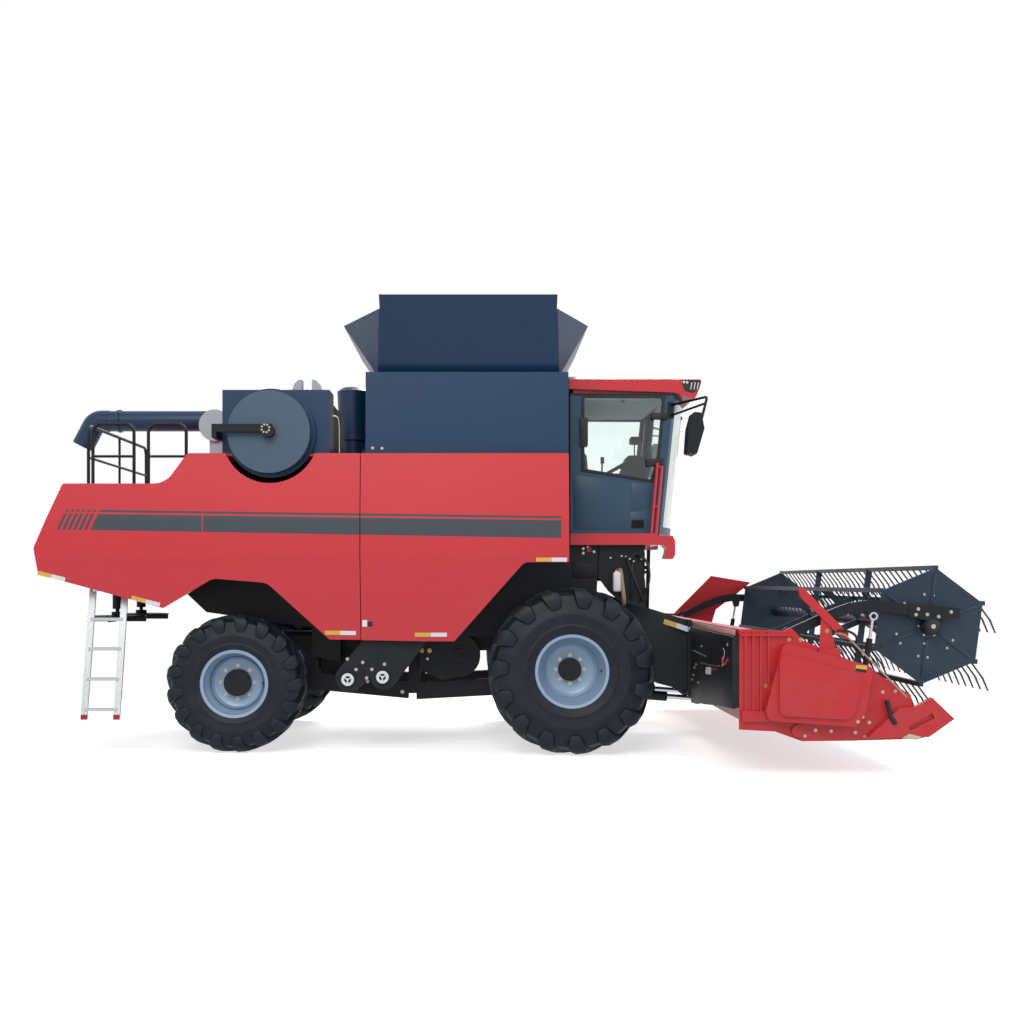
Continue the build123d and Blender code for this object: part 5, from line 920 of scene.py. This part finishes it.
kept(repeated(section, [((0, -2.667 + 0.0762 * k, 0.343), lying) for k in range(71)]), "knife_sections", zinc,
     body="header")
for y in (-0.7, -0.5, 0.5, 0.7):
    tilt = Matrix(((0, 0.9652, 0.2614, 2.396), (1, 0, 0, y), (0, -0.2614, 0.9652, 3.63), (0, 0, 0, 1)))
    bezel = frame_round([(-0.068, -0.046), (0.068, -0.046), (0.068, 0.046), (-0.068, 0.046)], -0.002, 0.008,
                        0.01)
    bowls = joined([rod(0.028, 0.006, (x, 0.002, 0.0), sides=32) for x in (-0.03, 0.03)])
    for piece, word, finish in ((bezel, "bezel", black_plastic), (bowls, "bowls", chrome)):
        kept(repeated(piece, [((0, 0, 0), tilt)]), f"roof_lamp_{word}_{round(1000 * (y + 1))}", finish)
kept([hose([(1.88, 0.808, 2.56), (1.88, 0.832, 2.57), (1.884, 0.836, 2.64), (1.89, 0.832, 2.71),
            (1.892, 0.808, 2.72)], 0.009), cube((0.05, 0.006, 0.22), (1.886, 0.812, 2.64), 0.002)],
     "door_handle", black_plastic, body="cab_door_leaf")
kept([cube((0.062, 0.024, 0.05), (x, -1.5, 0.362), 0.004) for x in (-3.59, -3.28)], "ladder_feet",
     red_plastic)

# ---- stage, light and camera
SHADOW_REACH = 9.0, 5.5              # half the length and width of the patch of floor that shows a shadow
pick()
bpy.ops.mesh.primitive_plane_add(size=400, location=(0, 0, 0))
floor = bpy.context.object
floor.name = "floor"
floor.data.materials.append(material(
    "pale_studio_floor",
    ("ray", "LightPath", {}), ("axes", "SeparateXYZ", PLACE),
    ("far", "ADD", ("POWER", ("MULTIPLY", X, 1 / SHADOW_REACH[0]), 2.0),
     ("POWER", ("MULTIPLY", "@axes.Y", 1 / SHADOW_REACH[1]), 2.0)),
    ("shown", "MAXIMUM", "@ray.Is Glossy Ray", "@ray.Is Transmission Ray"),
    ("fade", "MapRange", {"Value": "@far", "From Min": 0.35, "From Max": 1.0}),
    ("bare", "Emission", {"Color": "#FFFFFF", "Strength": 1.0}),
    ("glow", "Emission", {"Color": "#FFFFFF", "Strength": 0.62}),
    ("matt", "BsdfDiffuse", {"Color": "#E4E4E4"}), ("lit", "AddShader", {0: "@glow", 1: "@matt"}),
    ("near", "MixShader", {0: "@fade", 1: "@lit", 2: "@bare"}),
    ("looked_at", "MixShader", {0: "@ray.Is Camera Ray", 1: "@matt", 2: "@near"}),
    ("both", "MixShader", {0: "@shown", 1: "@looked_at", 2: "@bare"})))

world = bpy.data.worlds.new("studio")
bpy.context.scene.world = world
world.use_nodes = True
grown(world.node_tree, [
    ("ray", "LightPath", {}),
    ("shown", "MAXIMUM", ("MAXIMUM", "@ray.Is Camera Ray", "@ray.Is Glossy Ray"), "@ray.Is Transmission Ray"),
    ("sky", "Background", {"Color": "#E2EAF6", "Strength": 0.55}),
    ("white", "Background", {"Color": "#FFFFFF", "Strength": 1.0}),
    ("both", "MixShader", {0: "@shown", 1: "@sky", 2: "@white"}),
    ("surface", "OutputWorld", {"Surface": "@both"})])

for name, at, aim, size, power, colour in (      # metres, watts
        ("key", (-3.0, -14.0, 13.0), (0, 0, 1.5), 10.0, 1500, "#FFF8F0"),
        ("fill", (13.0, -8.0, 6.0), (0, 0, 1.5), 9.0, 500, "#EEF4FF"),
        ("back", (2.0, 11.0, 13.0), (0, 0, 2.0), 8.0, 2200, "#FFFAF2")):
    light = bpy.data.lights.new(name, "AREA")
    light.shape, light.size, light.energy, light.color = "SQUARE", size, power, srgb(colour)[:3]
    holder = bpy.data.objects.new(name, light)
    bpy.context.collection.objects.link(holder)
    holder.location = at
    holder.rotation_euler = (Vector(aim) - Vector(at)).to_track_quat("-Z", "Y").to_euler()

camera = bpy.data.objects.new("camera", bpy.data.cameras.new("camera"))
bpy.context.collection.objects.link(camera)
camera.location = (0.185, -12.7, 1.65)
camera.rotation_euler = (math.pi / 2, 0, 0)
camera.data.sensor_width, camera.data.lens = 36.0, 41.31
camera.data.shift_x, camera.data.shift_y = 0.03125, 0.0684
camera.data.clip_end = 500
bpy.context.scene.camera = camera
bpy.context.scene.view_settings.view_transform = "Standard"
